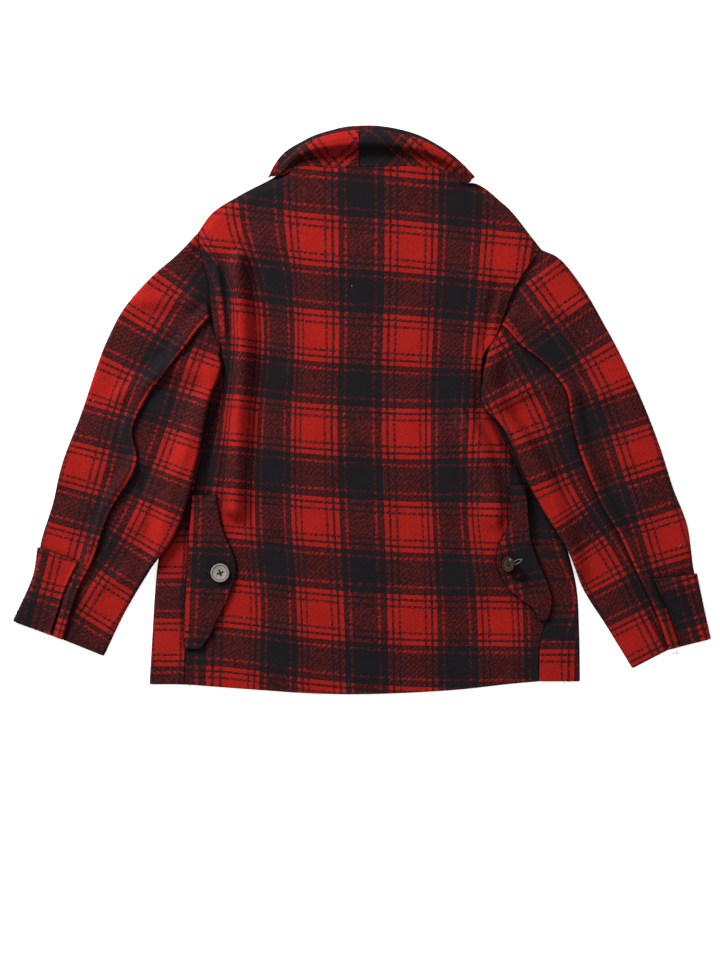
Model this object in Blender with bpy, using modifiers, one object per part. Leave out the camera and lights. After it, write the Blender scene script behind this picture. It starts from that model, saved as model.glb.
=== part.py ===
"""Hunting jacket of thick fulled wool, laid flat on its front with its back up.

Every cloth piece is the middle surface of one cut panel, given its thickness by Solidify.
Lengths in the tables are in millimetres. +X is to the right of someone looking down at the
back, +Y runs from hem to collar and +Z is up, off the surface that the jacket lies on.
The origin lies on that surface, under the middle of the jacket.
"""
import math

import bmesh
import bpy
import numpy as np

MM = 0.001

# Cloth and layers
CLOTH = 2.8
SEAM_GAP = 0.4
PLY_STEP = 3.3
FLAP_STEP = 4.0
BODY_DEPTH = 9.2
SLEEVE_DEPTH = 9.2
FLOOR_LAYER = CLOTH / 2
BACK_LAYER = BODY_DEPTH - CLOTH / 2
SHOULDER_LAYER = 1.5 * CLOTH + 0.3
FOLD_MARGIN = 17.0
SHOULDER_SLOPE = 14.0

# Front closure
LAP_HALF = 24.0
LAP_SLOPE = 26.0
LAP_STEP = CLOTH + 0.4
LAP_HEM = -389.5
LAP_COLUMNS = (74.0, 62.0, 51.0, 26.0, 0.0)

# Rows and columns of points in the body's panels
BODY_ROWS = 26
FRONT_COLUMNS = 9
WRAP_SPACING = 4.0
UNDER_ARM_TURN = 58.0
UNDER_ARM_ROOM = 1.8

# Sleeve resting on the side of the body
REST_CLEARANCE = 1.0
REST_SLOPE = 27.0
REST_FULL_BELOW_LEFT_ARMHOLE = 84.0
REST_FULL_BELOW_RIGHT_ARMHOLE = 44.0
REST_FREE_BELOW = -245.0
REST_FREE_SLOPE = 30.0
SEAM_LAP = 5.0
FRONT_SEAM_GAP = 1.6
FRONT_SEAM_PLACE = 0.86
SEAM_RISE = 3.8
SEAM_RISE_FLAT = 8.0
SEAM_RISE_END = 22.0
ROLL_TURNS = [math.radians(turn) for turn in (45, 90, 135)]
SLEEVE_ROWS = 21

# Sleeve at the armhole. The pairs are shares of the sleeve's length from cuff to armhole.
ARMHOLE_GAP = 1.2
ARMHOLE_LAP = 5.0
ARMHOLE_BLEND = (0.8, 1.0)
ARMHOLE_DIP = (0.90, 0.97)
ARMHOLE_TUCK = (0.95, 1.0)
ARMHOLE_ROWS = 5

# Where the dip and the tuck set in, as spans of distance from the two ends of the armhole
DIP_PAST_SHOULDER = (6.0, 22.0)
TUCK_PAST_SHOULDER = (24.0, 40.0)
DIP_PAST_UNDER_ARM = (2.0, 10.0)
TUCK_PAST_UNDER_ARM = (18.0, 32.0)
SEAM_LAP_FADE = (0.84, 0.90)
SEAM_RISE_FADE = (0.92, 0.96)

# Neck
NECK_SEAM_GAP = 2.2
NECK_GAP = 0.6
STEEPEST_UPRIGHT = 0.55

# Cuff tabs: rows and columns of the sleeve's points that a tab covers
TAB_ROWS = 5
TAB_COLUMNS = slice(2, 10)

# Buttons
GREY_BUTTON_DIAMETER = 25.6
BROWN_BUTTON_DIAMETER = 20.4
BUTTON_THICKNESS = 4.0
BUTTON_TILT = 43.0
BUTTON_SHANK = 0.4
BUTTON_BEVEL = 1.2
BUTTON_PLACE_LEFT = (-194.3, -224.1)
BUTTON_PLACE_RIGHT = (202.7, -212.1)
HOLE_RADIUS = 1.3
HOLE_REACH = 0.147

# Outlines of the back as seen from above. Each row is (x, y).
LEFT_SIDE_SEAM = [
    (-244, -378), (-242, -310), (-241, -244), (-238, -204), (-236, -160), (-232, -118),
    (-226, -84), (-215, -44), (-203, -6), (-193, 28), (-189, 60), (-198, 89)]
LEFT_ARMHOLE = [(-198, 89), (-206, 127), (-210, 172), (-219, 208), (-226, 244)]
RIGHT_SIDE_SEAM = [
    (244, -374), (247, -315), (257, -280), (259, -257), (255, -240), (246, -220), (237, -196),
    (229, -164), (226, -118), (217, -84), (204, -56), (191, -30), (178, -2), (168, 26),
    (166, 52), (170, 78), (182, 95)]
RIGHT_ARMHOLE = [(182, 95), (191, 115), (204, 151), (226, 192), (248, 221)]
LEFT_SHOULDER = [(-226, 244), (-208, 269), (-169, 295), (-125, 318), (-104, 330)]
BACK_NECK = [(-104, 330), (-84, 335), (-41, 333), (-3, 334), (43, 335), (64, 336), (92, 335),
             (105, 333), (128, 323), (147, 313)]
RIGHT_SHOULDER = [(147, 313), (198, 282), (233, 240), (248, 221)]
HEM = [(-292, -375), (-244, -379), (-151, -385), (-56, -391), (95, -388), (125, -386),
       (219, -376), (244, -374), (267, -374), (301, -365)]

# Outlines of the fronts, under the back. Each row is (x, y).
LEFT_EDGE = [(-292, -375), (-288, -306), (-284, -244), (-280, -206), (-271, -166), (-259, -124),
             (-243, -78), (-226, -30), (-212, 12), (-197, 54), (-200, 89)]
RIGHT_EDGE = [(301, -365), (300, -306), (296, -243), (286, -200), (273, -158), (257, -117),
              (241, -84), (222, -52), (203, -24), (186, 2), (176, 28), (174, 52), (178, 78),
              (184, 95)]
FRONT_NECK_LEFT = [(-104, 330), (-85, 292), (-44, 252), (-1, 237), (LAP_HALF, 240)]
FRONT_NECK_RIGHT = [(-LAP_HALF, 240), (-1, 237), (46, 248), (92, 280), (125, 302), (147, 313)]

# Folds of the back. Columns: crest points (x, y), height, reach to the left, reach to the right
BACK_FOLDS = [
    ([(-172, 205), (-168, 150), (-164, 90), (-166, 40), (-170, -10), (-172, -70), (-175, -135)],
     12.0, 17, 24),
    ([(-158, 235), (-148, 150), (-144, 60), (-148, -60)], -2.0, 14, 20),
    ([(-200, 195), (-192, 130), (-189, 95)], 3.5, 10, 9),
    ([(188, 175), (178, 135), (173, 95), (165, 45), (161, -10)], -3.0, 14, 8),
    ([(192, 150), (184, 112)], 3.0, 8, 8),
    ([(150, -20), (168, -60), (180, -100), (186, -140)], 7.0, 34, 18),
    ([(-60, 332), (60, 332)], 2.1, 95, 95),
    ([(0, 250), (0, -390)], 0.8, 60, 60)]

# Sleeve stations from cuff to armhole.
# Columns: outer edge (x, y), back seam (x, y), inner edge (x, y)
LEFT_STATIONS = [
    ((-477, -292), (-412, -316), (-355, -339)),
    ((-450, -231), (-391, -251), (-326, -279)),
    ((-441, -179), (-369, -204), (-292, -222)),
    ((-426, -131), (-347, -142), (-255, -170)),
    ((-412, -72), (-310, -76), (-235, -110)),
    ((-387, -7), (-315, -28), (-220, -41)),
    ((-365, 59), (-295, 18), (-210.5, 15)),
    ((-351, 95), (-273, 47), (-201.5, 41)),
    ((-328, 139), (-246, 82), (-197, 59)),
    ((-292, 181), (-229, 106), (-200, 71)),
    ((-256, 213), (-214, 127), (-202, 84)),
    ((-229, 242), (-208, 140), (-201, 95))]
RIGHT_STATIONS = [
    ((478, -316), (423, -330), (373, -356)),
    ((467, -266), (405, -279), (337, -297)),
    ((457, -215), (379, -224), (306, -248)),
    ((449, -159), (355, -172), (281, -189)),
    ((430, -109), (329, -128), (248, -135)),
    ((411, -50), (302, -63), (224, -90)),
    ((386, 14), (288, -10), (198, -30)),
    ((357, 76), (281, 26), (167, 7)),
    ((336, 115), (253, 62), (172, 44)),
    ((308, 164), (221, 88), (177, 73)),
    ((277, 206), (201, 116), (185.5, 91)),
    ((251, 220), (195, 124), (187, 102))]

# Folds of the sleeves. Columns: crest points (x, y), height, reach on each side
SLEEVE_FOLDS = {
    "left": [
        ([(-330, 20), (-250, 60), (-215, 50)], 3.0, 22),
        ([(-420, -120), (-350, -100)], -1.5, 25),
        ([(-300, 150), (-235, 150)], 2.0, 18),
        ([(-300, -150), (-255, -60), (-235, 10)], 2.5, 24),
        ([(-400, -260), (-330, -230)], 1.6, 20)],
    "right": [
        ([(330, 20), (230, 30), (190, 12)], 3.0, 22),
        ([(420, -110), (350, -90)], -1.5, 25),
        ([(300, 140), (240, 130)], 2.0, 18),
        ([(300, -150), (255, -90), (225, -40)], 2.5, 24),
        ([(430, -250), (360, -230)], 1.6, 20)]}

# Collar sections round the back of the neck, from the left shoulder to the right shoulder.
# Columns: seam (x, y), outer edge (x, y), height of the middle of the cloth at the seam, roll
COLLAR_SECTIONS = [
    ((-105.5, 333), (-121.5, 325.5), 8.2, 0.5),
    ((-95, 336), (-108, 346), 8.6, 3),
    ((-75, 337), (-79, 366), 9.8, 9),
    ((-41, 334.5), (-38, 381), 9.9, 11),
    ((-2.6, 335.5), (-2.6, 386), 9.9, 11),
    ((43, 336.5), (43, 383), 9.9, 11),
    ((80, 337), (84, 371), 9.9, 11),
    ((106, 335), (114, 354), 9.8, 7),
    ((129, 325), (136, 336), 9.0, 3),
    ((147, 315), (152, 320), 8.2, 0.5)]
# Columns: place from seam to outer edge, share of the roll
COLLAR_PROFILE = [(0, 0), (0.2, -0.04), (0.38, -0.04), (0.5, 0.35), (0.6, 0.85), (0.72, 1.0),
                  (0.86, 0.9), (1.0, 0.6)]
TOP_COLLAR_SHOW = 4.0
COLLAR_COLUMNS = 28
COLLAR_MIDDLE = 4
# Outer edges of the collar's two front ends, inside the neck opening. Each row is (x, y).
COLLAR_END_LEFT = [(-86, 331), (-60, 320), (-30, 302), (-8, 290)]
COLLAR_END_RIGHT = [(8, 290), (34, 300), (76, 318), (124, 319)]

# Pocket flaps. Columns: y, sewn edge x, free edge x
LEFT_FLAP = [(-117, -233, -200), (-145, -235, -196), (-165, -237, -191), (-192, -238, -180),
             (-213, -240, -173), (-234, -241, -175), (-266, -243, -187), (-290, -244, -199),
             (-310, -244, -208), (-329, -243, -221)]
RIGHT_FLAP = [(-103, 225, 204), (-123, 228, 204.5), (-142, 229, 206), (-164, 231, 201),
              (-184, 234, 190), (-199, 239, 186), (-213, 245, 186), (-227, 251, 192),
              (-246, 258, 203), (-262, 261, 220), (-276, 260, 238), (-290, 255, 243)]

# Colours, seen by eye: red and black wool mixed over the whole cloth
WOOL_RED = (0.115, 0.016, 0.016, 1.0)
WOOL_DARK = (0.06, 0.013, 0.014, 1.0)
GREY_HORN = (0.16, 0.14, 0.135, 1.0)
BROWN_HORN = (0.08, 0.05, 0.03, 1.0)


def smooth_step(value):
    """Ease from 0 to 1 as value goes from 0 to 1."""
    t = np.clip(value, 0.0, 1.0)
    return t * t * (3.0 - 2.0 * t)


def smooth_rows(keys, rows, at):
    """Rows of a table read at the values `at` of its rising keys, joined by smooth curves."""
    slope = np.gradient(rows, keys, axis=0)
    i = np.clip(np.searchsorted(keys, at, side="right") - 1, 0, len(keys) - 2)
    h = (keys[i + 1] - keys[i])[:, None]
    t = (at - keys[i])[:, None] / h
    return ((1 + 2 * t) * (1 - t) ** 2 * rows[i] + t * (1 - t) ** 2 * h * slope[i]
            + t * t * (3 - 2 * t) * rows[i + 1] + t * t * (t - 1) * h * slope[i + 1])


def lengths_along(points):
    """Length of a line of points from its start to each of its points."""
    return np.concatenate([[0.0], np.cumsum(np.linalg.norm(np.diff(points, axis=0), axis=1))])


def curve(points, where):
    """Points at shares `where` of the length of a smooth curve through the given points."""
    p = np.asarray(points, dtype=float)
    s = lengths_along(p)
    return smooth_rows(s, p, np.clip(np.asarray(where, dtype=float), 0.0, 1.0) * s[-1])


def edge_x(outline, y):
    """x of an outline at height y."""
    dense = curve(outline, np.linspace(0, 1, 160))
    order = np.argsort(dense[:, 1])
    return np.interp(y, dense[order, 1], dense[order, 0])


def signed_distance(x, y, crest):
    """Distance to a crest line, negative on its left, and how far past its ends a point is."""
    line = curve(crest, np.linspace(0, 1, 30))
    a = line[:-1]
    b = line[1:]
    d = b - a
    length = np.maximum(np.sum(d * d, axis=1), 1e-9)
    rel_x = np.asarray(x)[..., None] - a[:, 0]
    rel_y = np.asarray(y)[..., None] - a[:, 1]
    t = (rel_x * d[:, 0] + rel_y * d[:, 1]) / length
    tc = np.clip(t, 0, 1)
    gap_x = rel_x - tc * d[:, 0]
    gap_y = rel_y - tc * d[:, 1]
    dist = np.hypot(gap_x, gap_y)
    k = np.argmin(dist, axis=-1)
    pick = np.take_along_axis
    near = pick(dist, k[..., None], axis=-1)[..., 0]
    side = pick(gap_x * d[:, 1] - gap_y * d[:, 0], k[..., None], axis=-1)[..., 0]
    sign = np.where(side * np.sign(line[-1, 1] - line[0, 1] + 1e-9) < 0, -1.0, 1.0)
    return near * sign


def fold_height(x, y, crest, height, reach_left, reach_right):
    """A soft ridge or trough along a crest line."""
    d = signed_distance(x, y, crest)
    reach = np.where(d < 0, reach_left, reach_right)
    return height * smooth_step(1.0 - np.abs(d) / reach)


def back_height(x, y):
    """Height of the middle of the back's cloth over the surface."""
    z = BACK_LAYER + np.zeros_like(np.asarray(x, dtype=float))
    left = edge_x(LEFT_SIDE_SEAM + LEFT_ARMHOLE[1:], y)
    right = edge_x(RIGHT_SIDE_SEAM + RIGHT_ARMHOLE[1:], y)
    inside = smooth_step(np.minimum(x - left, right - x) / FOLD_MARGIN)
    for crest, height, reach_left, reach_right in BACK_FOLDS:
        z = z + inside * fold_height(x, y, crest, height, reach_left, reach_right)
    for shoulder in (LEFT_SHOULDER, RIGHT_SHOULDER):
        near = np.abs(signed_distance(x, y, shoulder))
        z = SHOULDER_LAYER + (z - SHOULDER_LAYER) * smooth_step(near / SHOULDER_SLOPE)
    return z


def patch(bottom, top, left, right, u, v):
    """Plan points of a four-sided panel at shares u and v.

    Straight rows join the two sides, and the bulges of the bottom and top edges fade inwards.
    """
    b = curve(bottom, u)
    t = curve(top, u)
    lf = curve(left, v)[:, None]
    r = curve(right, v)[:, None]
    uu = np.asarray(u)[None, :, None]
    vv = np.asarray(v)[:, None, None]
    bulge_bottom = b[None] - ((1 - uu) * b[0] + uu * b[-1])
    bulge_top = t[None] - ((1 - uu) * t[0] + uu * t[-1])
    return (1 - uu) * lf + uu * r + (1 - vv) ** 2 * bulge_bottom + vv ** 3 * bulge_top


def offset_grid(grid, distance):
    """The same grid moved along its own normals."""
    du = np.gradient(grid, axis=1)
    dv = np.gradient(grid, axis=0)
    n = np.cross(du, dv)
    n /= np.linalg.norm(n, axis=2, keepdims=True)
    return grid + distance * n


def lowered_grid(grid, step):
    """The same grid let down so far that its cloth lies one step under, on slopes too."""
    du = np.gradient(grid, axis=1)
    dv = np.gradient(grid, axis=0)
    n = np.cross(du, dv)
    upright = np.abs(n[..., 2]) / np.linalg.norm(n, axis=2)
    down = step / np.maximum(upright, STEEPEST_UPRIGHT)
    beside = np.concatenate([down[:1], down, down[-1:]])
    low = grid.copy()
    low[..., 2] -= np.maximum(np.maximum(beside[:-2], beside[2:]), down)
    return low


def make_material(name, color, roughness):
    material = bpy.data.materials.new(name)
    material.use_nodes = True
    shader = material.node_tree.nodes["Principled BSDF"]
    shader.inputs["Base Color"].default_value = color
    shader.inputs["Roughness"].default_value = roughness
    shader.inputs["Metallic"].default_value = 0.0
    return material


def add_object(name, mesh, material):
    """Put a mesh in the jacket's collection with its own material."""
    obj = bpy.data.objects.new(name, mesh)
    obj.data.materials.append(material)
    jacket.objects.link(obj)
    return obj


def cloth_piece(name, grid, color=WOOL_RED):
    """One panel: an open surface through the grid's points, made a wall of cloth."""
    rows, columns = grid.shape[:2]
    mesh = bpy.data.meshes.new(name)
    bm = bmesh.new()
    verts = [bm.verts.new(tuple(point * MM)) for point in grid.reshape(-1, 3)]
    for r in range(rows - 1):
        for c in range(columns - 1):
            k = r * columns + c
            bm.faces.new((verts[k], verts[k + 1], verts[k + columns + 1], verts[k + columns]))
    bm.to_mesh(mesh)
    bm.free()
    obj = add_object(name, mesh, make_material(name + "_wool", color, 0.95))
    wall = obj.modifiers.new("cloth", "SOLIDIFY")
    wall.thickness = CLOTH * MM
    wall.offset = 0.0
    wall.use_even_offset = False
    wall.use_rim = True
    mesh.shade_smooth()
    mesh.set_sharp_from_angle(angle=math.radians(50))
    return obj


def inset(points, dx):
    """An outline moved sideways by half a seam's gap."""
    return [(x + dx, y) for x, y in points]


def body_rows():
    """Shares of the side seam and armhole at which every body panel has a row of points."""
    return np.linspace(0, 1, BODY_ROWS + 1)


def make_back():
    half = SEAM_GAP / 2
    left = inset(LEFT_SIDE_SEAM + LEFT_ARMHOLE[1:], half)
    right = inset(RIGHT_SIDE_SEAM + RIGHT_ARMHOLE[1:], -half)
    top = LEFT_SHOULDER + BACK_NECK[1:] + RIGHT_SHOULDER[1:]
    top = [left[-1]] + top[1:-1] + [right[-1]]
    hem = [left[0]] + HEM[2:7] + [right[0]]
    plan = patch(hem, top, left, right, np.linspace(0, 1, 31), body_rows())
    z = back_height(plan[..., 0], plan[..., 1])
    return cloth_piece("back", np.dstack([plan, z]))


def walk(line, distance):
    """Point at a distance along a row of plan points."""
    step = lengths_along(line)
    return np.array([np.interp(distance, step, line[:, k]) for k in (0, 1)])


def front_row(line, seam_distance, turned, inward):
    """One row of a front: from the side seam on top, round the fold, then along the floor.

    turned goes from 1, where the whole wrap is there, to 0, where the panel ends on the floor.
    The row's points come with how far along the floor the last of them lies.
    """
    outer = BODY_DEPTH / 2
    middle = outer - CLOTH / 2
    half_turn = math.pi * middle
    top_run = max(seam_distance - SEAM_GAP / 2 - outer, 1.0)
    rolled = [half_turn + top_run * f for f in (1.0, 0.6, 0.3)] + [
        half_turn * f for f in (1.0, 0.75, 0.5, 0.25, 0.0)]
    even = np.linspace(half_turn + top_run, 0.0, len(rolled))
    wide = float(smooth_step(top_run / 14.0))
    rolled = [wide * a + (1 - wide) * b for a, b in zip(rolled, even)]
    start = outer * math.sin(min(turned * rolled[0] / middle, math.pi / 2))
    edge = line[0]
    points = []
    for i, a in enumerate(rolled):
        s = turned * a - (1 - turned) * WRAP_SPACING * i
        if s > half_turn:
            x, y = edge[0] + inward * (start + s - half_turn), edge[1]
            z = BACK_LAYER
        elif s > 0:
            turn = s / middle
            x, y = edge[0] + inward * (start - middle * math.sin(turn)), edge[1]
            z = outer - middle * math.cos(turn)
        else:
            x, y = walk(line, start - s)
            z = FLOOR_LAYER
        points.append((x, y, z))
    return points, start + (1 - turned) * WRAP_SPACING * (len(rolled) - 1)


def make_front(side):
    """A front: its floor panel, with the wrap round the side joined on."""
    left = side == "left"
    inward = 1 if left else -1
    edge = LEFT_EDGE if left else RIGHT_EDGE
    seam = (LEFT_SIDE_SEAM + LEFT_ARMHOLE[1:]) if left else (RIGHT_SIDE_SEAM + RIGHT_ARMHOLE[1:])
    shoulder = LEFT_SHOULDER if left else RIGHT_SHOULDER[::-1]
    neck = FRONT_NECK_LEFT if left else FRONT_NECK_RIGHT[::-1]
    under_arm = edge[-1][1]
    lap_x = LAP_HALF * inward
    seam_points = curve(seam, body_rows())
    side_line = []
    for x, y in seam_points:
        side_line.append((float(edge_x(edge, y)), y) if y < under_arm else (x, y))
    top = shoulder + neck[1:]
    lap = [(lap_x, LAP_HEM), (lap_x, neck[-1][1])]
    outline = HEM if left else HEM[::-1]
    hem = [side_line[0]] + [p for p in outline[1:] if (lap_x - p[0]) * inward > 8] + [lap[0]]
    dense_u = np.linspace(0, 1, 161)
    dense = np.array([patch(hem, top, side_line, lap, dense_u, [v])[0] for v in body_rows()])
    dense += (np.array(side_line) - dense[:, 0])[:, None] * (1 - dense_u)[None, :, None]
    grid = []
    for (x, y), line in zip(seam_points, dense):
        turned = float(smooth_step((under_arm + 4 - y) / UNDER_ARM_TURN))
        room = UNDER_ARM_ROOM / 2 * float(smooth_step(1 - (under_arm - y) / UNDER_ARM_TURN / 1.5))
        row, last_wrap = front_row(line, abs(x - line[0][0]) - room, turned, inward)
        width = float(np.linalg.norm(np.diff(line, axis=0), axis=1).sum())
        near_lap = [width - d for d in LAP_COLUMNS]
        spread = np.linspace(last_wrap, near_lap[0], FRONT_COLUMNS + 1)[1:-1]
        for distance in list(spread) + near_lap:
            px, py = walk(line, distance)
            z = FLOOR_LAYER
            if not left:
                z += LAP_STEP * float(smooth_step((LAP_HALF + LAP_SLOPE - px) / (LAP_SLOPE - 3)))
            row.append((px, py, z))
        grid.append(row)
    return cloth_piece("front_" + side, np.array(grid))


def rest_lift(side, x, y):
    """How high a sleeve's underside lies: on the floor, or on the body's side edge."""
    edge = LEFT_EDGE if side == "left" else RIGHT_EDGE
    sign = 1 if side == "left" else -1
    under_arm = edge[-1][1]
    full_by = REST_FULL_BELOW_LEFT_ARMHOLE if side == "left" else REST_FULL_BELOW_RIGHT_ARMHOLE
    inside = (x - edge_x(edge, y)) * sign
    share = smooth_step((inside + REST_SLOPE) / (REST_SLOPE - 1))
    below = smooth_step((under_arm - y) / full_by)
    hem_side = smooth_step((y - REST_FREE_BELOW) / REST_FREE_SLOPE)
    return (BODY_DEPTH + REST_CLEARANCE) * share * below * hem_side


def sleeve_height(side, x, y):
    """Height of the middle of the sleeve's top layer."""
    z = rest_lift(side, x, y) + SLEEVE_DEPTH - CLOTH / 2
    for crest, height, reach in SLEEVE_FOLDS[side]:
        z = z + fold_height(x, y, crest, height, reach, reach)
    return z


def sleeve_lines(side, at):
    """Smooth outer edge, back seam and inner edge of a sleeve at shares from cuff to armhole."""
    table = LEFT_STATIONS if side == "left" else RIGHT_STATIONS
    keys = np.linspace(0, 1, len(table))
    return [smooth_rows(keys, np.array([row[k] for row in table], dtype=float), at)
            for k in range(3)]


def chain_points(outer, seam, inner, s):
    """Plan points at distances s along the two straight runs of every section."""
    first = np.linalg.norm(seam - outer, axis=1)[:, None]
    second = np.linalg.norm(inner - seam, axis=1)[:, None]
    a = np.minimum(s / first, 1)[..., None]
    b = np.maximum((s - first) / second, 0)[..., None]
    return outer[:, None] + (seam - outer)[:, None] * a + (inner - seam)[:, None] * b


def fade_in(value, span):
    """Ease from 0 at the start of a span of shares to 1 at its end."""
    return smooth_step((value - span[0]) / (span[1] - span[0]))


def sleeve_grid(side, part):
    """Middle surface of one sleeve piece: rings round the sleeve, from cuff to armhole.

    At the armhole the top layer dips under the edge of the body.
    """
    where = np.concatenate([np.linspace(0, ARMHOLE_DIP[0], SLEEVE_ROWS),
                            np.linspace(ARMHOLE_DIP[0], 1, ARMHOLE_ROWS + 1)[1:]])
    outer, seam, inner = sleeve_lines(side, where)
    first = np.linalg.norm(seam - outer, axis=1)
    width = first + np.linalg.norm(inner - seam, axis=1)
    share = np.linspace(0, 1, 21)
    line = (LEFT_ARMHOLE if side == "left" else RIGHT_ARMHOLE)[::-1]
    outward = -1 if side == "left" else 1
    room = ARMHOLE_GAP + UNDER_ARM_ROOM * share ** 2
    hole = curve(line, share) + np.stack([outward * room, 0 * room], axis=1)
    shift = hole - chain_points(outer[-1:], seam[-1:], inner[-1:], share[None] * width[-1])[0]
    blend = fade_in(where, ARMHOLE_BLEND)[:, None]
    tuck = fade_in(where, ARMHOLE_TUCK)[:, None]
    dip = fade_in(where, ARMHOLE_DIP)[:, None]
    lap = SEAM_LAP - (SEAM_LAP + SEAM_GAP) * fade_in(where, SEAM_LAP_FADE)
    rise = SEAM_RISE * (1 - fade_in(where, SEAM_RISE_FADE))[:, None]
    radius = SLEEVE_DEPTH / 2
    middle = radius - CLOTH / 2
    front_seam = width * FRONT_SEAM_PLACE
    # Columns of the ring: distance across the section, share of the top layer, share of the rise
    ring = []
    if part == "upper":
        for d in (0.0, SEAM_RISE_FLAT, 15.0, SEAM_RISE_END):
            up = float(smooth_step((SEAM_RISE_END - d) / (SEAM_RISE_END - SEAM_RISE_FLAT)))
            ring.append((first - d, 1.0, up))
        for f in (0.66, 0.36, 0.2, 0.0):
            ring.append((radius + (first - SEAM_RISE_END - radius) * f, 1.0, 0.0))
        for turn in ROLL_TURNS:
            ring.append((0 * first + radius - middle * math.sin(turn), (1 + math.cos(turn)) / 2, 0.0))
        for f in (0.0, 0.35, 0.6, 0.75, 0.88, 1.0):
            ring.append((radius + (front_seam - FRONT_SEAM_GAP / 2 - radius) * f, 0.0, 0.0))
    else:
        start = first - lap
        for f in (0.0, 0.3, 0.6, 1.0):
            ring.append((start + (width - radius - start) * f, 1.0, 0.0))
        for turn in ROLL_TURNS:
            ring.append((width - radius + middle * math.sin(turn), (1 + math.cos(turn)) / 2, 0.0))
        for f in (0.0, 0.5, 1.0):
            last = front_seam + FRONT_SEAM_GAP / 2
            ring.append((width - radius + (last - width + radius) * f, 0.0, 0.0))
    s = np.stack([column[0] for column in ring], axis=1)
    on_top = np.array([[column[1] for column in ring]])
    raised = np.array([[column[2] for column in ring]])
    plan = chain_points(outer, seam, inner, s)
    along = s / width[:, None]
    for k in (0, 1):
        plan[..., k] += blend * np.interp(along, share, shift[:, k])
    left_over = width[:, None] - s
    tuck = tuck * fade_in(s, TUCK_PAST_SHOULDER) * fade_in(left_over, TUCK_PAST_UNDER_ARM)
    dip = dip * fade_in(s, DIP_PAST_SHOULDER) * fade_in(left_over, DIP_PAST_UNDER_ARM)
    plan[..., 0] -= outward * tuck * on_top * ARMHOLE_LAP
    x, y = plan[..., 0], plan[..., 1]
    low = rest_lift(side, x, y) + FLOOR_LAYER
    high = sleeve_height(side, x, y)
    high = high + dip * (BACK_LAYER - PLY_STEP - high)
    return np.dstack([plan, low + (high - low) * on_top + rise * raised])


def make_sleeve(side, part):
    grid = sleeve_grid(side, part)
    name = "sleeve_" + side + "_" + part
    return cloth_piece(name, grid, WOOL_RED if part == "upper" else WOOL_DARK)


def make_cuff_tab(side):
    """A tab over the outer half of the cuff, moved out from the sleeve's own points."""
    part = sleeve_grid(side, "upper")[:TAB_ROWS, TAB_COLUMNS]
    sign = 1 if side == "left" else -1
    return cloth_piece("cuff_tab_" + side, offset_grid(part, -(PLY_STEP + 0.3) * sign), WOOL_DARK)


def collar_grid(count):
    """Middle surface of the under collar, from the left shoulder to the right shoulder."""
    table = np.array([(*seam, *edge, z, roll) for seam, edge, z, roll in COLLAR_SECTIONS])
    s = lengths_along(table[:, [0, 1, 4]])
    s /= s[-1]
    half = count // 2
    centre_back = s[COLLAR_MIDDLE]
    where = np.concatenate([np.linspace(0, centre_back, half + 1),
                            np.linspace(centre_back, 1, half + 1)[1:]])
    rows = smooth_rows(s, table, where)
    neck = curve(BACK_NECK, np.linspace(0, 1, 200))
    rows[:, 1] = np.interp(rows[:, 0], neck[:, 0], neck[:, 1]) + NECK_GAP
    grid = []
    for place, share in COLLAR_PROFILE:
        x = rows[:, 0] + (rows[:, 2] - rows[:, 0]) * place
        y = rows[:, 1] + (rows[:, 3] - rows[:, 1]) * place
        z = rows[:, 4] + rows[:, 5] * share
        grid.append(np.stack([x, y, z], axis=1))
    return np.array(grid)


def make_collar():
    grid = collar_grid(COLLAR_COLUMNS)
    middle = COLLAR_COLUMNS // 2
    left = grid[:, :middle + 1].copy()
    right = grid[:, middle:].copy()
    left[:, -1, 0] -= SEAM_GAP / 2
    right[:, 0, 0] += SEAM_GAP / 2
    cloth_piece("collar_under_left", left)
    cloth_piece("collar_under_right", right, WOOL_DARK)
    top = grid.copy()
    out = top[-1] - top[-2]
    out /= np.linalg.norm(out, axis=1, keepdims=True)
    top[-1] += out * TOP_COLLAR_SHOW
    cloth_piece("collar_top", lowered_grid(top, PLY_STEP), WOOL_DARK)


def make_collar_end(side):
    """The collar's front end, which lies inside the neck opening, under the back."""
    left = side == "left"
    neck = FRONT_NECK_LEFT[:4] if left else FRONT_NECK_RIGHT[::-1][:5]
    inner = [(x + (NECK_SEAM_GAP if left else -NECK_SEAM_GAP), y + 1.6) for x, y in neck]
    outer = COLLAR_END_LEFT if left else COLLAR_END_RIGHT[::-1]
    last_x = -4.0 if left else 4.0
    inner[-1] = (last_x, inner[-1][1])
    side_line = [inner[0], outer[0]]
    end_line = [inner[-1], outer[-1]]
    plan = patch(inner, outer, side_line, end_line, np.linspace(0, 1, 9), np.linspace(0, 1, 4))
    z = np.full(plan.shape[:2], FLOOR_LAYER)
    return cloth_piece("collar_end_" + side, np.dstack([plan, z]), WOOL_DARK)


def make_flap(side):
    table = LEFT_FLAP if side == "left" else RIGHT_FLAP
    rows = sorted(table)
    sewn = curve([(x, y) for y, x, _ in rows], np.linspace(0, 1, 15))
    free = curve([(x, y) for y, _, x in rows], np.linspace(0, 1, 15))
    grid = []
    for a, b in zip(sewn, free):
        across = [a + (b - a) * f for f in np.linspace(0, 1, 7)]
        grid.append([(x, y, float(back_height(x, y)) + FLAP_STEP) for x, y in across])
    return cloth_piece("pocket_flap_" + side, np.array(grid), WOOL_DARK)


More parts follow.
